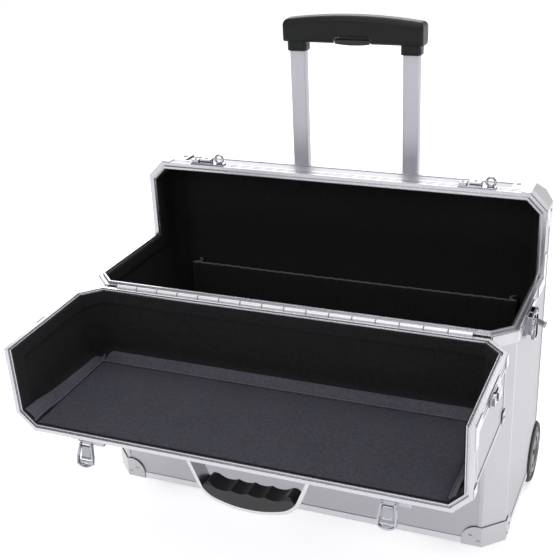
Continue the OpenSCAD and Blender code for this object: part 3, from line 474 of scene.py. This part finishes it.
NODE_FINISH: dict[str, Finish] = {
    "base_panels": PANEL, "base_edge_profiles": PROFILE, "base_bottom_strip": STRIP,
    "base_rim": RIM, "base_rim_corners": CASTING, "bottom_brackets": BRACKET,
    "back_brackets": BRACKET, "base_rivets": RIVET, "hinge_base_leaf": HINGE, "hinge_pin": PIN,
    "hinge_stops": RUBBER, "wheel_housings": BLACK, "axles": PIN, "front_feet": RUBBER,
    "trolley_tray": BLACK, "trolley_bottom_bracket": BLACK, "trolley_outer_tubes": TUBE,
    "trolley_collars": BLACK, "trolley_mid_tubes": TUBE, "trolley_mid_guides": BLACK,
    "trolley_inner_tubes": TUBE, "trolley_inner_guides": BLACK, "trolley_grip": PULL,
    "trolley_button": BUTTON, "wheel_left_hub": HUB, "wheel_left_tyre": TYRE,
    "wheel_right_hub": HUB, "wheel_right_tyre": TYRE, "lid_panels": PANEL,
    "lid_edge_profiles": PROFILE, "lid_rim": RIM, "lid_rim_corners": CASTING,
    "lid_brackets": BRACKET, "lid_rivets": RIVET, "hinge_lid_leaf": HINGE, "carry_mounts": CHROME,
    "carry_pins": PIN, "carry_band": BAND, "carry_grip": GRIP, "latch_plates": CHROME,
    "lock_left": RIVET, "lock_right": RIVET, "lever_left": CHROME, "lever_right": CHROME,
    "hook_left": PIN, "hook_right": PIN, "top_catches": CHROME, "top_rings": CHROME,
    "side_plates": CHROME, "side_lever_left": CHROME, "side_lever_right": CHROME,
    "side_hook_left": CHROME, "side_hook_right": CHROME, "side_catches": CHROME,
}


class Paints:
    """Makes each finish's material once."""

    def __init__(self) -> None:
        """Starts with no material made."""
        self._made: dict[str, bpy.types.Material] = {}

    def get(self, finish: Finish) -> bpy.types.Material:
        """Returns the finish's material, made on first use."""
        if finish.name not in self._made:
            self._made[finish.name] = finish.make()
        return self._made[finish.name]

    def coat(self, piece: bpy.types.Object, finish: Finish) -> None:
        """Gives the whole piece one finish."""
        piece.data.materials.clear()
        piece.data.materials.append(self.get(finish))


# ---------------------------------------------------------------- mesh helpers


def add_mesh(name: str, points: Sequence[Sequence[float]], faces: Sequence[Sequence[int]],
             smooth: bool = True) -> bpy.types.Object:
    """Adds a mesh object at the origin.

    Args:
        name: the object's name.
        points: its vertices, in metres.
        faces: its faces, as vertex numbers.
        smooth: whether the faces are shaded smooth.

    Returns:
        The new object.
    """
    mesh = bpy.data.meshes.new(name)
    mesh.from_pydata([tuple(p) for p in points], [], [tuple(f) for f in faces])
    mesh.update()
    mesh.polygons.foreach_set("use_smooth", [smooth] * len(mesh.polygons))
    piece = bpy.data.objects.new(name, mesh)
    bpy.context.scene.collection.objects.link(piece)
    return piece


def grid_faces(rows: int, columns: int, flip: bool = False) -> list[tuple[int, int, int, int]]:
    """Quads over a grid of points that are listed row by row."""
    faces = []
    for i in range(rows - 1):
        for j in range(columns - 1):
            a = i * columns + j
            quad = (a, a + 1, a + columns + 1, a + columns)
            faces.append(quad[::-1] if flip else quad)
    return faces


def softened_copy(node: str, name: str, cell: float, fold: float, swell: float, seed: float) -> bpy.types.Object:
    """Copies a CAD node's mesh as cloth: cut into small cells, its folds eased, its faces uneven.

    Args:
        node: the CAD node.
        name: the copy's name.
        cell: size of a cell, in metres.
        fold: the furthest that a vertex on a fold moves.
        swell: the furthest that the cloth stands off its backing.
        seed: start of the unevenness.

    Returns:
        The new object.
    """
    mesh = frame["nodes"][node].data.copy()
    mesh.name = name
    work = bmesh.new()
    work.from_mesh(mesh)
    bmesh.ops.remove_doubles(work, verts=work.verts, dist=0.00001)
    low = Vector([min(v.co[k] for v in work.verts) for k in range(3)])
    high = Vector([max(v.co[k] for v in work.verts) for k in range(3)])
    for axis in range(3):
        count = int((high[axis] - low[axis]) / cell)
        for i in range(1, count):
            point, normal = Vector(low), Vector((0.0, 0.0, 0.0))
            point[axis] += (high[axis] - low[axis]) * i / count
            normal[axis] = 1.0
            bmesh.ops.bisect_plane(work, geom=[*work.verts, *work.edges, *work.faces], dist=0.000001,
                                   plane_co=point, plane_no=normal)
    bmesh.ops.remove_doubles(work, verts=work.verts, dist=0.00005)
    bmesh.ops.recalc_face_normals(work, faces=work.faces)
    work.normal_update()
    middle = (low + high) / 2
    moves = []
    lips = {edge for edge in work.edges
            if len(edge.link_faces) == 2 and edge.is_convex and edge.calc_face_angle(0.0) > 0.6}
    for vertex in work.verts:
        near = [edge.other_vert(vertex).co for edge in vertex.link_edges]
        ease = (sum(near, Vector()) / len(near) - vertex.co) * 0.35
        bent = any(len(e.link_faces) == 2 and e.calc_face_angle(0.0) > 0.3 for e in vertex.link_edges)
        if not lips.isdisjoint(vertex.link_edges):
            ease = Vector()
        if ease.length > fold:
            ease *= fold / ease.length
        inward = vertex.normal if vertex.normal.dot(middle - vertex.co) > 0 else -vertex.normal
        rise = max(0.0, 0.5 + wobble(vertex.co, 28.0, seed) + 0.4 * wobble(vertex.co, 90.0, seed + 5.0))
        moves.append((ease if bent else Vector()) + inward * (rise * swell * (0.3 if bent else 1.0)))
    for vertex, move in zip(work.verts, moves):
        vertex.co += move
    for edge in lips:
        edge.smooth = False
    work.to_mesh(mesh)
    work.free()
    mesh.polygons.foreach_set("use_smooth", [True] * len(mesh.polygons))
    piece = bpy.data.objects.new(name, mesh)
    bpy.context.scene.collection.objects.link(piece)
    return piece


def apply_modifiers(piece: bpy.types.Object) -> bpy.types.Object:
    """Bakes the piece's modifiers into its mesh and removes them."""
    graph = bpy.context.evaluated_depsgraph_get()
    mesh = bpy.data.meshes.new_from_object(piece.evaluated_get(graph))
    piece.modifiers.clear()
    piece.data = mesh
    return piece


def outward(piece: bpy.types.Object) -> None:
    """Turns a closed piece's faces outwards."""
    work = bmesh.new()
    work.from_mesh(piece.data)
    bmesh.ops.recalc_face_normals(work, faces=work.faces)
    work.to_mesh(piece.data)
    work.free()


def half_area(piece: bpy.types.Object) -> float:
    """Area of one side of a thin closed piece, in square metres."""
    return sum(face.area for face in piece.data.polygons) / 2


def wobble(point: Vector, scale: float, seed: float) -> float:
    """Smooth noise from -1 to 1 at a point, the same on each run."""
    return noise.noise(point * scale + Vector((seed, seed * 1.7, -seed)))


# ---------------------------------------------------------------- shared sizes


@dataclass(frozen=True)
class CaseSizes:
    """The case's main sizes, in metres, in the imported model's own frame."""

    width: float = 0.482
    depth: float = 0.214
    height: float = 0.351
    foot: float = 0.026
    lid_depth: float = 0.158
    split: float = 0.256
    rim_out: float = 0.002
    rim_width: float = 0.014
    rim_thick: float = 0.006
    wall: float = 0.004
    lip_back: float = 0.0022
    knuckle: float = 0.0026
    skin: float = 0.0055
    bevel: float = 0.018
    front_bevel: float = 0.021
    lid_open: float = math.radians(182.0)

    @property
    def hinge(self) -> Vector:
        """A point on the lid's hinge axis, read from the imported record."""
        joint = next(j for j in frame["joints"] if j["name"] == "lid_hinge")
        return Vector(joint["pos_m"])

    @property
    def middle(self) -> float:
        """Depth position of the body's middle."""
        return self.hinge.y + self.knuckle + self.depth / 2

    @property
    def front(self) -> float:
        """Depth position of the front panels' outer face."""
        return self.middle - self.depth / 2 + self.rim_out

    @property
    def back(self) -> float:
        """Depth position of the back panel's outer face."""
        return self.middle + self.depth / 2

    @property
    def top(self) -> float:
        """Height of the top panels' outer face."""
        return self.foot + self.height - self.rim_out

    @property
    def side(self) -> float:
        """Half the width over the side panels."""
        return self.width / 2 - self.rim_out

    @property
    def mouth(self) -> float:
        """Depth position of the lid's mouth with the lid drawn closed."""
        return self.front - self.rim_out + self.lid_depth

    @property
    def lip_step(self) -> float:
        """How much further in the lining's lip stands than the lining."""
        return self.rim_thick - self.wall

    @property
    def cut(self) -> float:
        """Bevel of the inner skin along the top edges."""
        return self.bevel - (2 - math.sqrt(2)) * self.skin

    def lid_pose(self) -> Matrix:
        """Matrix that turns what is drawn with the lid closed to the opened lid."""
        axis = Matrix.Translation(self.hinge)
        return axis @ Matrix.Rotation(self.lid_open, 4, "X") @ axis.inverted()


CASE = CaseSizes()


# ---------------------------------------------------------------- geometry nodes


class Repeat:
    """Geometry Nodes trees for what repeats along a path."""

    @staticmethod
    def _socket(tree: bpy.types.NodeTree, name: str, kind: str, value: float | None = None) -> str:
        """Adds a named input and returns its identifier."""
        made = tree.interface.new_socket(name, in_out="INPUT", socket_type=kind)
        if value is not None:
            made.default_value = value
        return made.identifier

    @classmethod
    def stitch_tree(cls) -> tuple[bpy.types.NodeTree, dict[str, str]]:
        """Builds the tree that lays short round-ended threads along a path.

        Returns:
            The tree, and its inputs' identifiers by name.
        """
        tree = bpy.data.node_groups.new("thread_run", "GeometryNodeTree")
        tree.interface.new_socket("Geometry", in_out="OUTPUT", socket_type="NodeSocketGeometry")
        names = {"Path": cls._socket(tree, "Path", "NodeSocketGeometry"),
                 "Pitch": cls._socket(tree, "Pitch", "NodeSocketFloat", 0.004),
                 "Length": cls._socket(tree, "Length", "NodeSocketFloat", 0.0028),
                 "Radius": cls._socket(tree, "Radius", "NodeSocketFloat", 0.0003),
                 "Material": cls._socket(tree, "Material", "NodeSocketMaterial")}
        n = tree.nodes.new
        link = tree.links.new
        source, sink = n("NodeGroupInput"), n("NodeGroupOutput")
        curve, spread = n("GeometryNodeMeshToCurve"), n("GeometryNodeResampleCurve")
        spread.mode = "LENGTH"
        tangent, align = n("GeometryNodeInputTangent"), n("FunctionNodeAlignRotationToVector")
        align.axis = "Z"
        line, ring = n("GeometryNodeCurvePrimitiveLine"), n("GeometryNodeCurvePrimitiveCircle")
        line.mode = "DIRECTION"
        line.inputs["Direction"].default_value = (0.0, 0.0, 1.0)
        ring.inputs["Resolution"].default_value = 6
        tube, place = n("GeometryNodeCurveToMesh"), n("GeometryNodeInstanceOnPoints")
        tube.inputs["Fill Caps"].default_value = True
        real, paint = n("GeometryNodeRealizeInstances"), n("GeometryNodeSetMaterial")
        link(source.outputs["Path"], curve.inputs["Mesh"])
        link(curve.outputs["Curve"], spread.inputs["Curve"])
        link(source.outputs["Pitch"], spread.inputs["Length"])
        link(source.outputs["Length"], line.inputs["Length"])
        link(source.outputs["Radius"], ring.inputs["Radius"])
        link(line.outputs["Curve"], tube.inputs["Curve"])
        link(ring.outputs["Curve"], tube.inputs["Profile Curve"])
        link(tangent.outputs["Tangent"], align.inputs["Vector"])
        link(spread.outputs["Curve"], place.inputs["Points"])
        link(tube.outputs["Mesh"], place.inputs["Instance"])
        link(align.outputs["Rotation"], place.inputs["Rotation"])
        link(place.outputs["Instances"], real.inputs["Geometry"])
        link(real.outputs["Geometry"], paint.inputs["Geometry"])
        link(source.outputs["Material"], paint.inputs["Material"])
        link(paint.outputs["Geometry"], sink.inputs["Geometry"])
        return tree, names

    @classmethod
    def along(cls, name: str, path: Sequence[Vector], pitch: float, length: float, radius: float,
              material: bpy.types.Material) -> bpy.types.Object:
        """Lays threads along an open path and returns them as one plain mesh.

        Args:
            name: the piece's name.
            path: the points that it follows.
            pitch: distance from one thread's start to the next.
            length: length of one thread.
            radius: radius of the thread.
            material: its material.

        Returns:
            The new object, with no modifier left on it.
        """
        mesh = bpy.data.meshes.new(name)
        mesh.from_pydata([tuple(p) for p in path], [(i, i + 1) for i in range(len(path) - 1)], [])
        piece = bpy.data.objects.new(name, mesh)
        bpy.context.scene.collection.objects.link(piece)
        tree, names = cls.stitch_tree()
        modifier = piece.modifiers.new("thread_run", "NODES")
        modifier.node_group = tree
        for key, value in (("Pitch", pitch), ("Length", length), ("Radius", radius), ("Material", material)):
            modifier[names[key]] = value
        return apply_modifiers(piece)


# ---------------------------------------------------------------- sub-assemblies


@dataclass
class Maker:
    """What every sub-assembly needs: the paints, and a list of the pieces that it made."""

    paints: Paints
    pieces: list[bpy.types.Object] = field(default_factory=list)

    def keep(self, piece: bpy.types.Object, body: str, slot: str, finish: Finish | None = None,
             replaces: Iterable[str] = ()) -> bpy.types.Object:
        """Finishes a piece: paint, body and the CAD nodes that it stands for, which it hides.

        Args:
            piece: the finished object.
            body: the CAD body that it rides on.
            slot: the record's material slot; not used.
            finish: its finish, unless its material is already set.
            replaces: the CAD nodes that it stands for.

        Returns:
            The same piece.
        """
        if finish is not None:
            self.paints.coat(piece, finish)
        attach(piece, body)
        nodes = list(replaces)
        if nodes:
            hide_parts(*nodes)
        self.pieces.append(piece)
        LOG.info("piece %s on %s, %d faces", piece.name, body, len(piece.data.polygons))
        return piece


@dataclass
class HardParts(Maker):
    """The rigid CAD nodes, which keep their own meshes and get their finishes."""

    def dress(self) -> None:
        """Paints every rigid node."""
        for name, finish in NODE_FINISH.items():
            self.paints.coat(frame["nodes"][name], finish)
            LOG.info("node %s in %s", name, finish.name)


@dataclass
class WallLining(Maker):
    """Cloth glued to the inside of both shells, with softened folds along its edges."""

    cell: float = 0.009
    fold: float = 0.0011
    swell: float = 0.0005

    def _wall(self, node: str, name: str, body: str, strip: float) -> None:
        """Makes one shell's lining from the CAD lining's form.

        Args:
            node: the CAD lining.
            name: the cloth's name.
            body: the CAD body that it is glued to.
            strip: width of the cloth that it was cut from.
        """
        piece = softened_copy(node, name, self.cell, self.fold, self.swell, 4.0)
        self.keep(piece, body, "lining", LINING, [node])
        half_area(piece) / strip

    def build(self) -> None:
        """Makes the linings of the body and of the lid."""
        self._wall("base_lining", "body_lining_cloth", "base", 0.55)
        self._wall("lid_lining", "lid_lining_cloth", "lid", 0.40)


@dataclass
class LidFloor(Maker):
    """The charcoal pad on the opened lid's floor and the facing that climbs to its walls."""

    pad_thick: float = 0.004
    facing_thick: float = 0.0008
    lift: float = 0.0010
    columns: int = 110
    rows: int = 30

    @property
    def _floor(self) -> float:
        """Height of the floor's skin with the lid drawn closed."""
        return CASE.top - CASE.skin

    @property
    def _inner_side(self) -> float:
        """Half width between the side walls' skins."""
        return CASE.side - CASE.skin

    @property
    def _inner_front(self) -> float:
        """Depth position of the hinge-side wall's skin."""
        return CASE.front + CASE.skin

    def _pad(self) -> bpy.types.Object:
        """Makes the pad as a closed grid box and lets pressure crown it.

        Returns:
            The pad, in the opened lid's place.
        """
        x1 = self._inner_side - CASE.cut - 0.0006
        y0 = self._inner_front + CASE.cut + 0.0006
        y1 = CASE.mouth - CASE.lip_back - 0.0004
        low, high = self._floor - 0.0004, self._floor - self.pad_thick + 0.0012
        points, nx, ny = [], self.columns, self.rows
        for under, z in ((True, low), (False, high)):
            for j in range(ny):
                y = y0 + (y1 - y0) * j / (ny - 1)
                step = (CASE.lip_step + 0.0001) * self._over_lip(y) if under else 0.0004 * self._over_lip(y)
                for i in range(nx):
                    points.append((x1 * (2 * i / (nx - 1) - 1), y, z - step))
        base = nx * ny
        faces = [tuple(f) for f in grid_faces(ny, nx)]
        faces += [tuple(v + base for v in f) for f in grid_faces(ny, nx, True)]
        border = [i for i in range(nx)] + [j * nx + nx - 1 for j in range(1, ny)] \
            + [(ny - 1) * nx + i for i in range(nx - 2, -1, -1)] + [j * nx for j in range(ny - 2, 0, -1)]
        for a, b in zip(border, border[1:] + border[:1]):
            faces.append((b, a, a + base, b + base))
        pad = add_mesh("lid_floor_cloth_pad", points, faces)
        outward(pad)
        self._crown(pad, base)
        self._settle(pad, x1, y0, y1)
        pad.data.transform(CASE.lid_pose())
        return pad

    def _crown(self, pad: bpy.types.Object, fixed: int) -> None:
        """Swells the pad's upper cloth with a short cloth simulation, capped at a small travel.

        Args:
            pad: the closed pad.
            fixed: how many of its first vertices are glued down.
        """
        before = [v.co.copy() for v in pad.data.vertices]
        group = pad.vertex_groups.new(name="glued")
        group.add(list(range(fixed)), 1.0, "REPLACE")
        cloth = pad.modifiers.new("swell", "CLOTH")
        cloth.settings.use_pressure = True
        cloth.settings.uniform_pressure_force = 4.0
        cloth.settings.vertex_group_mass = "glued"
        cloth.settings.quality = 5
        cloth.settings.effector_weights.gravity = 0.0
        cloth.point_cache.frame_start, cloth.point_cache.frame_end = 1, 20
        scene = bpy.context.scene
        for step in range(1, 21):
            scene.frame_set(step)
        apply_modifiers(pad)
        scene.frame_set(1)
        cap = 0.0016
        for vertex, start in zip(pad.data.vertices, before):
            move = vertex.co - start
            if move.length > cap:
                move *= cap / move.length
            vertex.co = start + move
        pad.vertex_groups.clear()

    def _settle(self, pad: bpy.types.Object, x1: float, y0: float, y1: float) -> None:
        """Rounds the pad's borders and gives its cloth a slight unevenness."""
        for vertex in pad.data.vertices:
            p = vertex.co
            if p.z > self._floor - 0.0010:
                continue
            rim = min(x1 - abs(p.x), p.y - y0, y1 - p.y)
            drop = math.exp(-max(rim, 0.0) / 0.0016)
            p.z += 0.0007 * drop
            p.z += 0.00035 * wobble(p, 22.0, 3.1) + 0.00018 * wobble(p, 70.0, 9.4)

    @staticmethod
    def _over_lip(y: float) -> float:
        """Share from 0 to 1 by which a point lies over the lining's lip at the mouth."""
        start = CASE.mouth - CASE.rim_width - 0.0385
        share = min(1.0, max(0.0, (y - start) / 0.036))
        return share * share * (3.0 - 2.0 * share)

    def _depth_at(self, x: float, y: float) -> float:
        """How far the inner skin stands off the floor's plane at a point."""
        return max(0.0, self._inner_front + CASE.cut - y, abs(x) - (self._inner_side - CASE.cut))

    def _stations(self, step: float = 0.003) -> list[tuple[Vector, Vector]]:
        """Foot and top of the facing, station by station round three sides.

        Args:
            step: distance between stations.

        Returns:
            Pairs of plan points, from the right end round to the left.
        """
        f, s = self._inner_front, self._inner_side
        a = CASE.front_bevel - (2 - math.sqrt(2)) * CASE.skin
        end = CASE.mouth - CASE.lip_back - 0.0008
        foot = [Vector((s - CASE.cut, end)), Vector((s - CASE.cut, f + CASE.cut + 0.001)),
                Vector((s - CASE.cut - 0.001, f + CASE.cut))]
        wall = [Vector((s - 0.0006, end)), Vector((s - 0.0006, f + a)), Vector((s - a, f + 0.0006))]
        foot += [Vector((-p.x, p.y)) for p in reversed(foot)]
        wall += [Vector((-p.x, p.y)) for p in reversed(wall)]
        pairs = []
        for k in range(len(foot) - 1):
            long = max((wall[k + 1] - wall[k]).length, (foot[k + 1] - foot[k]).length)
            count = max(2, int(long / step))
            for i in range(count if k < len(foot) - 2 else count + 1):
                t = i / count
                low, high = foot[k].lerp(foot[k + 1], t), wall[k].lerp(wall[k + 1], t)
                outward_share = min(1.0, max(0.0, (abs(high.x) - (s - a)) / a))
                along = min(1.0, max(0.0, (high.y - f - a) / (end - f - a)))
                notch = (Vector((abs(high.x), high.y)) - Vector((s - a, f + 0.0006))).length
                reach = 0.74 - 0.22 * outward_share + 0.34 * along - 0.6 * math.exp(-(notch / 0.0028) ** 2)
                if high.x > 0:
                    reach -= outward_share * (0.12 + 0.30 * along)
                pairs.append((low, low.lerp(high, reach)))
        return pairs

    def _facing(self) -> tuple[bpy.types.Object, list[Vector], float]:
        """Makes the facing cloth on the bevels, puckered at the corners.

        Returns:
            The cloth, the line of its foot, and the line's length.
        """
        pairs, across = self._stations(), 9
        points, foot_line = [], []
        for foot, wall in pairs:
            for j in range(across):
                t = j / (across - 1)
                p = foot.lerp(wall, t)
                depth = self._depth_at(p.x, p.y)
                corner = min((Vector((sx * (self._inner_side - 0.010), self._inner_front + 0.010)) - p).length
                             for sx in (-1, 1))
                pucker = math.exp(-corner / 0.030)
                spot = Vector((p.x, p.y, 0.0))
                swell = 0.0009 * math.sin(math.pi * t) + 0.0022 * pucker * abs(wobble(spot, 150.0, 2.3)) \
                    + 0.0006 * wobble(spot, 45.0, 6.2) * math.sin(math.pi * t)
                crease = 0.0012 * math.exp(-((p.x - 0.185) / 0.0022) ** 2) * (1 - t)
                height = self._floor - depth - self.lift - max(0.0, swell) - crease - 0.0029 * self._over_lip(p.y)
                points.append((p.x, p.y, height))
            foot_line.append(Vector((foot.x, foot.y,
                                     self._floor - self.lift - 0.0026 - 0.0029 * self._over_lip(foot.y))))
        cloth = add_mesh("lid_facing_cloth", points, grid_faces(len(pairs), across))
        solid = cloth.modifiers.new("thickness", "SOLIDIFY")
        solid.thickness = self.facing_thick
        solid.offset = 0.0
        apply_modifiers(cloth)
        outward(cloth)
        cloth.data.transform(CASE.lid_pose())
        long = sum((b - a).length for a, b in zip(foot_line, foot_line[1:]))
        return cloth, [CASE.lid_pose() @ p for p in foot_line], long

    def build(self) -> None:
        """Makes the pad, the facing and the stitching along the fold."""
        pad = self.keep(self._pad(), "lid", "pad", PAD, ["lid_floor_pad"])
        cloth, line, long = self._facing()
        self.keep(cloth, "lid", "pad", SLOPE)
        seam = Repeat.along("lid_fold_stitches", line, 0.0038, 0.0034, 0.00055, self.paints.get(THREAD))
        self.keep(seam, "lid", "binding")


@dataclass
class BackPocket(Maker):
    """The gathered pocket on the body's back wall, with its pleated ends and bound edge."""

    half: float = 0.208
    edge_height: float = 0.209
    bottom: float = 0.060
    stand: float = 0.018
    thick: float = 0.0013
    pleat: float = 0.009

    @property
    def _wall(self) -> float:
        """Depth position of the back wall's lining."""
        return CASE.back - CASE.skin

    def _outline(self, rise: float) -> list[Vector]:
        """Plan of the pocket's cloth at a share of its height.

        Args:
            rise: 0 at the bottom and 1 at the bound edge.

        Returns:
            The points from the wall on the left round to the wall on the right.
        """
        front = self._wall - self.stand + 0.0008
        near = self._wall - 0.0006
        plan = []
        for k in range(9):
            t = k / 8
            fold = math.sin(math.pi * t) * self.pleat * (0.35 + 0.65 * rise)
            plan.append(Vector((-self.half + fold, near + (front - near) * t)))
        count = 150
        for i in range(1, count):
            t = i / count
            x = -self.half + 2 * self.half * t
            pull = 0.0036 * rise ** 2 * math.sin(math.pi * t) ** 0.6
            gather = 0.0006 * rise ** 3 * math.sin(2 * math.pi * x / 0.0125 + 1.3 * math.sin(x * 60))
            sag = 0.0004 * wobble(Vector((x, rise * 0.15, 0.0)), 26.0, 4.4)
            plan.append(Vector((x, front + max(0.0, pull + gather + sag))))
        for k in range(8, -1, -1):
            t = k / 8
            fold = math.sin(math.pi * t) * self.pleat * (0.35 + 0.65 * rise)
            plan.append(Vector((self.half - fold, near + (front - near) * t)))
        return plan

    def _top(self, x: float) -> float:
        """Height of the bound edge, which dips slightly between its ends."""
        return CASE.foot + self.edge_height - 0.0016 * math.cos(math.pi * x / (2 * self.half))

    def build(self) -> None:
        """Makes the pocket's cloth, its binding and the row of stitches along it."""
        rows = 22
        low = CASE.foot + self.bottom
        points: list[tuple[float, float, float]] = []
        columns = len(self._outline(0.0))
        for r in range(rows):
            rise = r / (rows - 1)
            for p in self._outline(rise):
                points.append((p.x, p.y, low + (self._top(p.x) - 0.001 - low) * rise))
        cloth = add_mesh("back_pocket_cloth", points, grid_faces(rows, columns, True))
        solid = cloth.modifiers.new("thickness", "SOLIDIFY")
        solid.thickness = self.thick
        solid.offset = 0.0
        apply_modifiers(cloth)
        outward(cloth)
        self.keep(cloth, "base", "lining", POCKET, ["base_pocket"])
        self._binding()

    def _binding(self) -> None:
        """Makes the ribbed tape over the pocket's edge and its stitching."""
        plan = self._outline(1.0)[1:-1]
        section = [(-0.0009, -0.0009), (-0.0010, -0.0002), (-0.0006, 0.0005), (0.0006, 0.0005),
                   (0.0010, -0.0002), (0.0009, -0.0009)]
        points = []
        for before, p, after in zip(plan[:1] + plan, plan, plan[1:] + plan[-1:]):
            side = (after - before).normalized()
            for out, dz in section:
                points.append((p.x - side.y * out, p.y + side.x * out, self._top(p.x) + dz))
        count = len(section)
        faces = []
        for i in range(len(plan) - 1):
            for j in range(count):
                a, b = i * count + j, i * count + (j + 1) % count
                faces.append((a, b, b + count, a + count))
        last = (len(plan) - 1) * count
        faces += [tuple(range(count))[::-1], tuple(last + j for j in range(count))]
        tape = add_mesh("pocket_edge_binding", points, faces)
        outward(tape)
        self.keep(tape, "base", "binding", BINDING, ["pocket_binding"])
        row = [Vector((p.x, p.y - 0.0013, self._top(p.x) - 0.0030)) for p in plan[9:-9]]
        self.keep(Repeat.along("pocket_edge_stitches", row, 0.0036, 0.0026, 0.00022,
                               self.paints.get(BLACK_THREAD)), "base", "binding")


# ---------------------------------------------------------------- studio


@dataclass
class Studio(Maker):
    """Floor, lights and the camera at the photograph's angle."""

    floor_half: float = 26.0
    camera_offset: Vector = field(default_factory=lambda: Vector((0.4023, -1.0430, 0.7543)))
    yaw: float = -0.4058
    pitch: float = 0.4470
    roll: float = -0.0442
    focal: float = 1065.24
    centre: tuple[float, float] = (285.94, 322.08)
    frame_size: float = 560.0
    room_greys: tuple[tuple[float, float], ...] = ((0.0, 0.10), (1.0, 0.80), (0.12, 0.16), (0.3, 0.42), (0.6, 0.75))
    room_strength: float = 0.62

    def _camera(self) -> None:
        """Sets the camera where the photograph was taken from."""
        forward = Vector((math.sin(self.yaw) * math.cos(self.pitch),
                          math.cos(self.yaw) * math.cos(self.pitch), -math.sin(self.pitch)))
        right = Vector((math.cos(self.yaw), -math.sin(self.yaw), 0.0))
        up = right.cross(forward)
        right, up = (right * math.cos(self.roll) + up * math.sin(self.roll),
                     up * math.cos(self.roll) - right * math.sin(self.roll))
        data = bpy.data.cameras.new("photo_camera")
        data.sensor_fit = "HORIZONTAL"
        data.sensor_width = 36.0
        data.lens = self.focal * 36.0 / self.frame_size
        data.shift_x = (self.frame_size / 2 - self.centre[0]) / self.frame_size
        data.shift_y = (self.centre[1] - self.frame_size / 2) / self.frame_size
        data.clip_start, data.clip_end = 0.05, 60.0
        camera = bpy.data.objects.new("photo_camera", data)
        place = self.camera_offset + Vector((0.0, CASE.middle, 0.0))
        camera.matrix_world = Matrix((
            (right.x, up.x, -forward.x, place.x), (right.y, up.y, -forward.y, place.y),
            (right.z, up.z, -forward.z, place.z), (0.0, 0.0, 0.0, 1.0)))
        bpy.context.scene.collection.objects.link(camera)
        bpy.context.scene.camera = camera

    def _panel_light(self, name: str, place: Vector, target: Vector, size: tuple[float, float],
                     power: float) -> None:
        """Adds one soft rectangular light aimed at a point."""
        data = bpy.data.lights.new(name, "AREA")
        data.shape = "RECTANGLE"
        data.size, data.size_y = size
        data.energy = power
        lamp = bpy.data.objects.new(name, data)
        lamp.location = place
        lamp.rotation_euler = (target - place).to_track_quat("-Z", "Y").to_euler()
        bpy.context.scene.collection.objects.link(lamp)

    def _room(self) -> None:
        """Makes the room that polished metal mirrors: dim walls under a bright ceiling."""
        world = bpy.data.worlds.new("studio_room")
        world.use_nodes = True
        tree = world.node_tree
        where, split = tree.nodes.new("ShaderNodeTexCoord"), tree.nodes.new("ShaderNodeSeparateXYZ")
        tree.links.new(where.outputs["Generated"], split.inputs[0])
        ramp, room = tree.nodes.new("ShaderNodeValToRGB"), tree.nodes["Background"]
        for place, grey in self.room_greys[2:]:
            ramp.color_ramp.elements.new(place)
        for element, (place, grey) in zip(ramp.color_ramp.elements, sorted(self.room_greys)):
            element.position = place
            element.color = (grey * 0.97, grey * 0.98, grey, 1.0)
        tree.links.new(split.outputs["Z"], ramp.inputs["Fac"])
        tree.links.new(ramp.outputs["Color"], room.inputs["Color"])
        room.inputs["Strength"].default_value = self.room_strength
        bpy.context.scene.world = world

    def build(self) -> None:
        """Makes the floor, the lights, the world and the camera."""
        h = self.floor_half
        floor = add_mesh("studio_floor", [(-h, -h, 0), (h, -h, 0), (h, h, 0), (-h, h, 0)], [(0, 1, 2, 3)], False)
        self.paints.coat(floor, PAPER)
        self._room()
        target = Vector((0.0, 0.05, 0.25))
        self._panel_light("top_softbox", Vector((0.2, 0.1, 2.4)), target, (2.2, 1.8), 20.0)
        self._panel_light("right_softbox", Vector((2.3, 0.1, 1.0)), target, (1.6, 1.6), 5.0)
        self._panel_light("back_softbox", Vector((-0.95, 2.3, 1.45)), Vector((0.0, 0.1, 0.37)), (2.2, 1.1), 22.0)
        self._panel_light("corner_softbox", Vector((1.15, 2.6, 0.75)), Vector((0.24, 0.1, 0.36)), (1.4, 1.0), 4.5)
        self._panel_light("front_softbox", Vector((-0.5, -2.4, 1.9)), target, (1.6, 1.2), 18.0)
        bpy.context.scene.view_settings.view_transform = "Standard"
        self._camera()


def main() -> None:
    """Dresses the case and sets the studio."""
    logging.basicConfig(level=logging.INFO, format="%(name)s: %(message)s")
    paints = Paints()
    Studio(paints).build()
    HardParts(paints).dress()
    WallLining(paints).build()
    LidFloor(paints).build()
    BackPocket(paints).build()


if __name__ == "__main__":
    main()
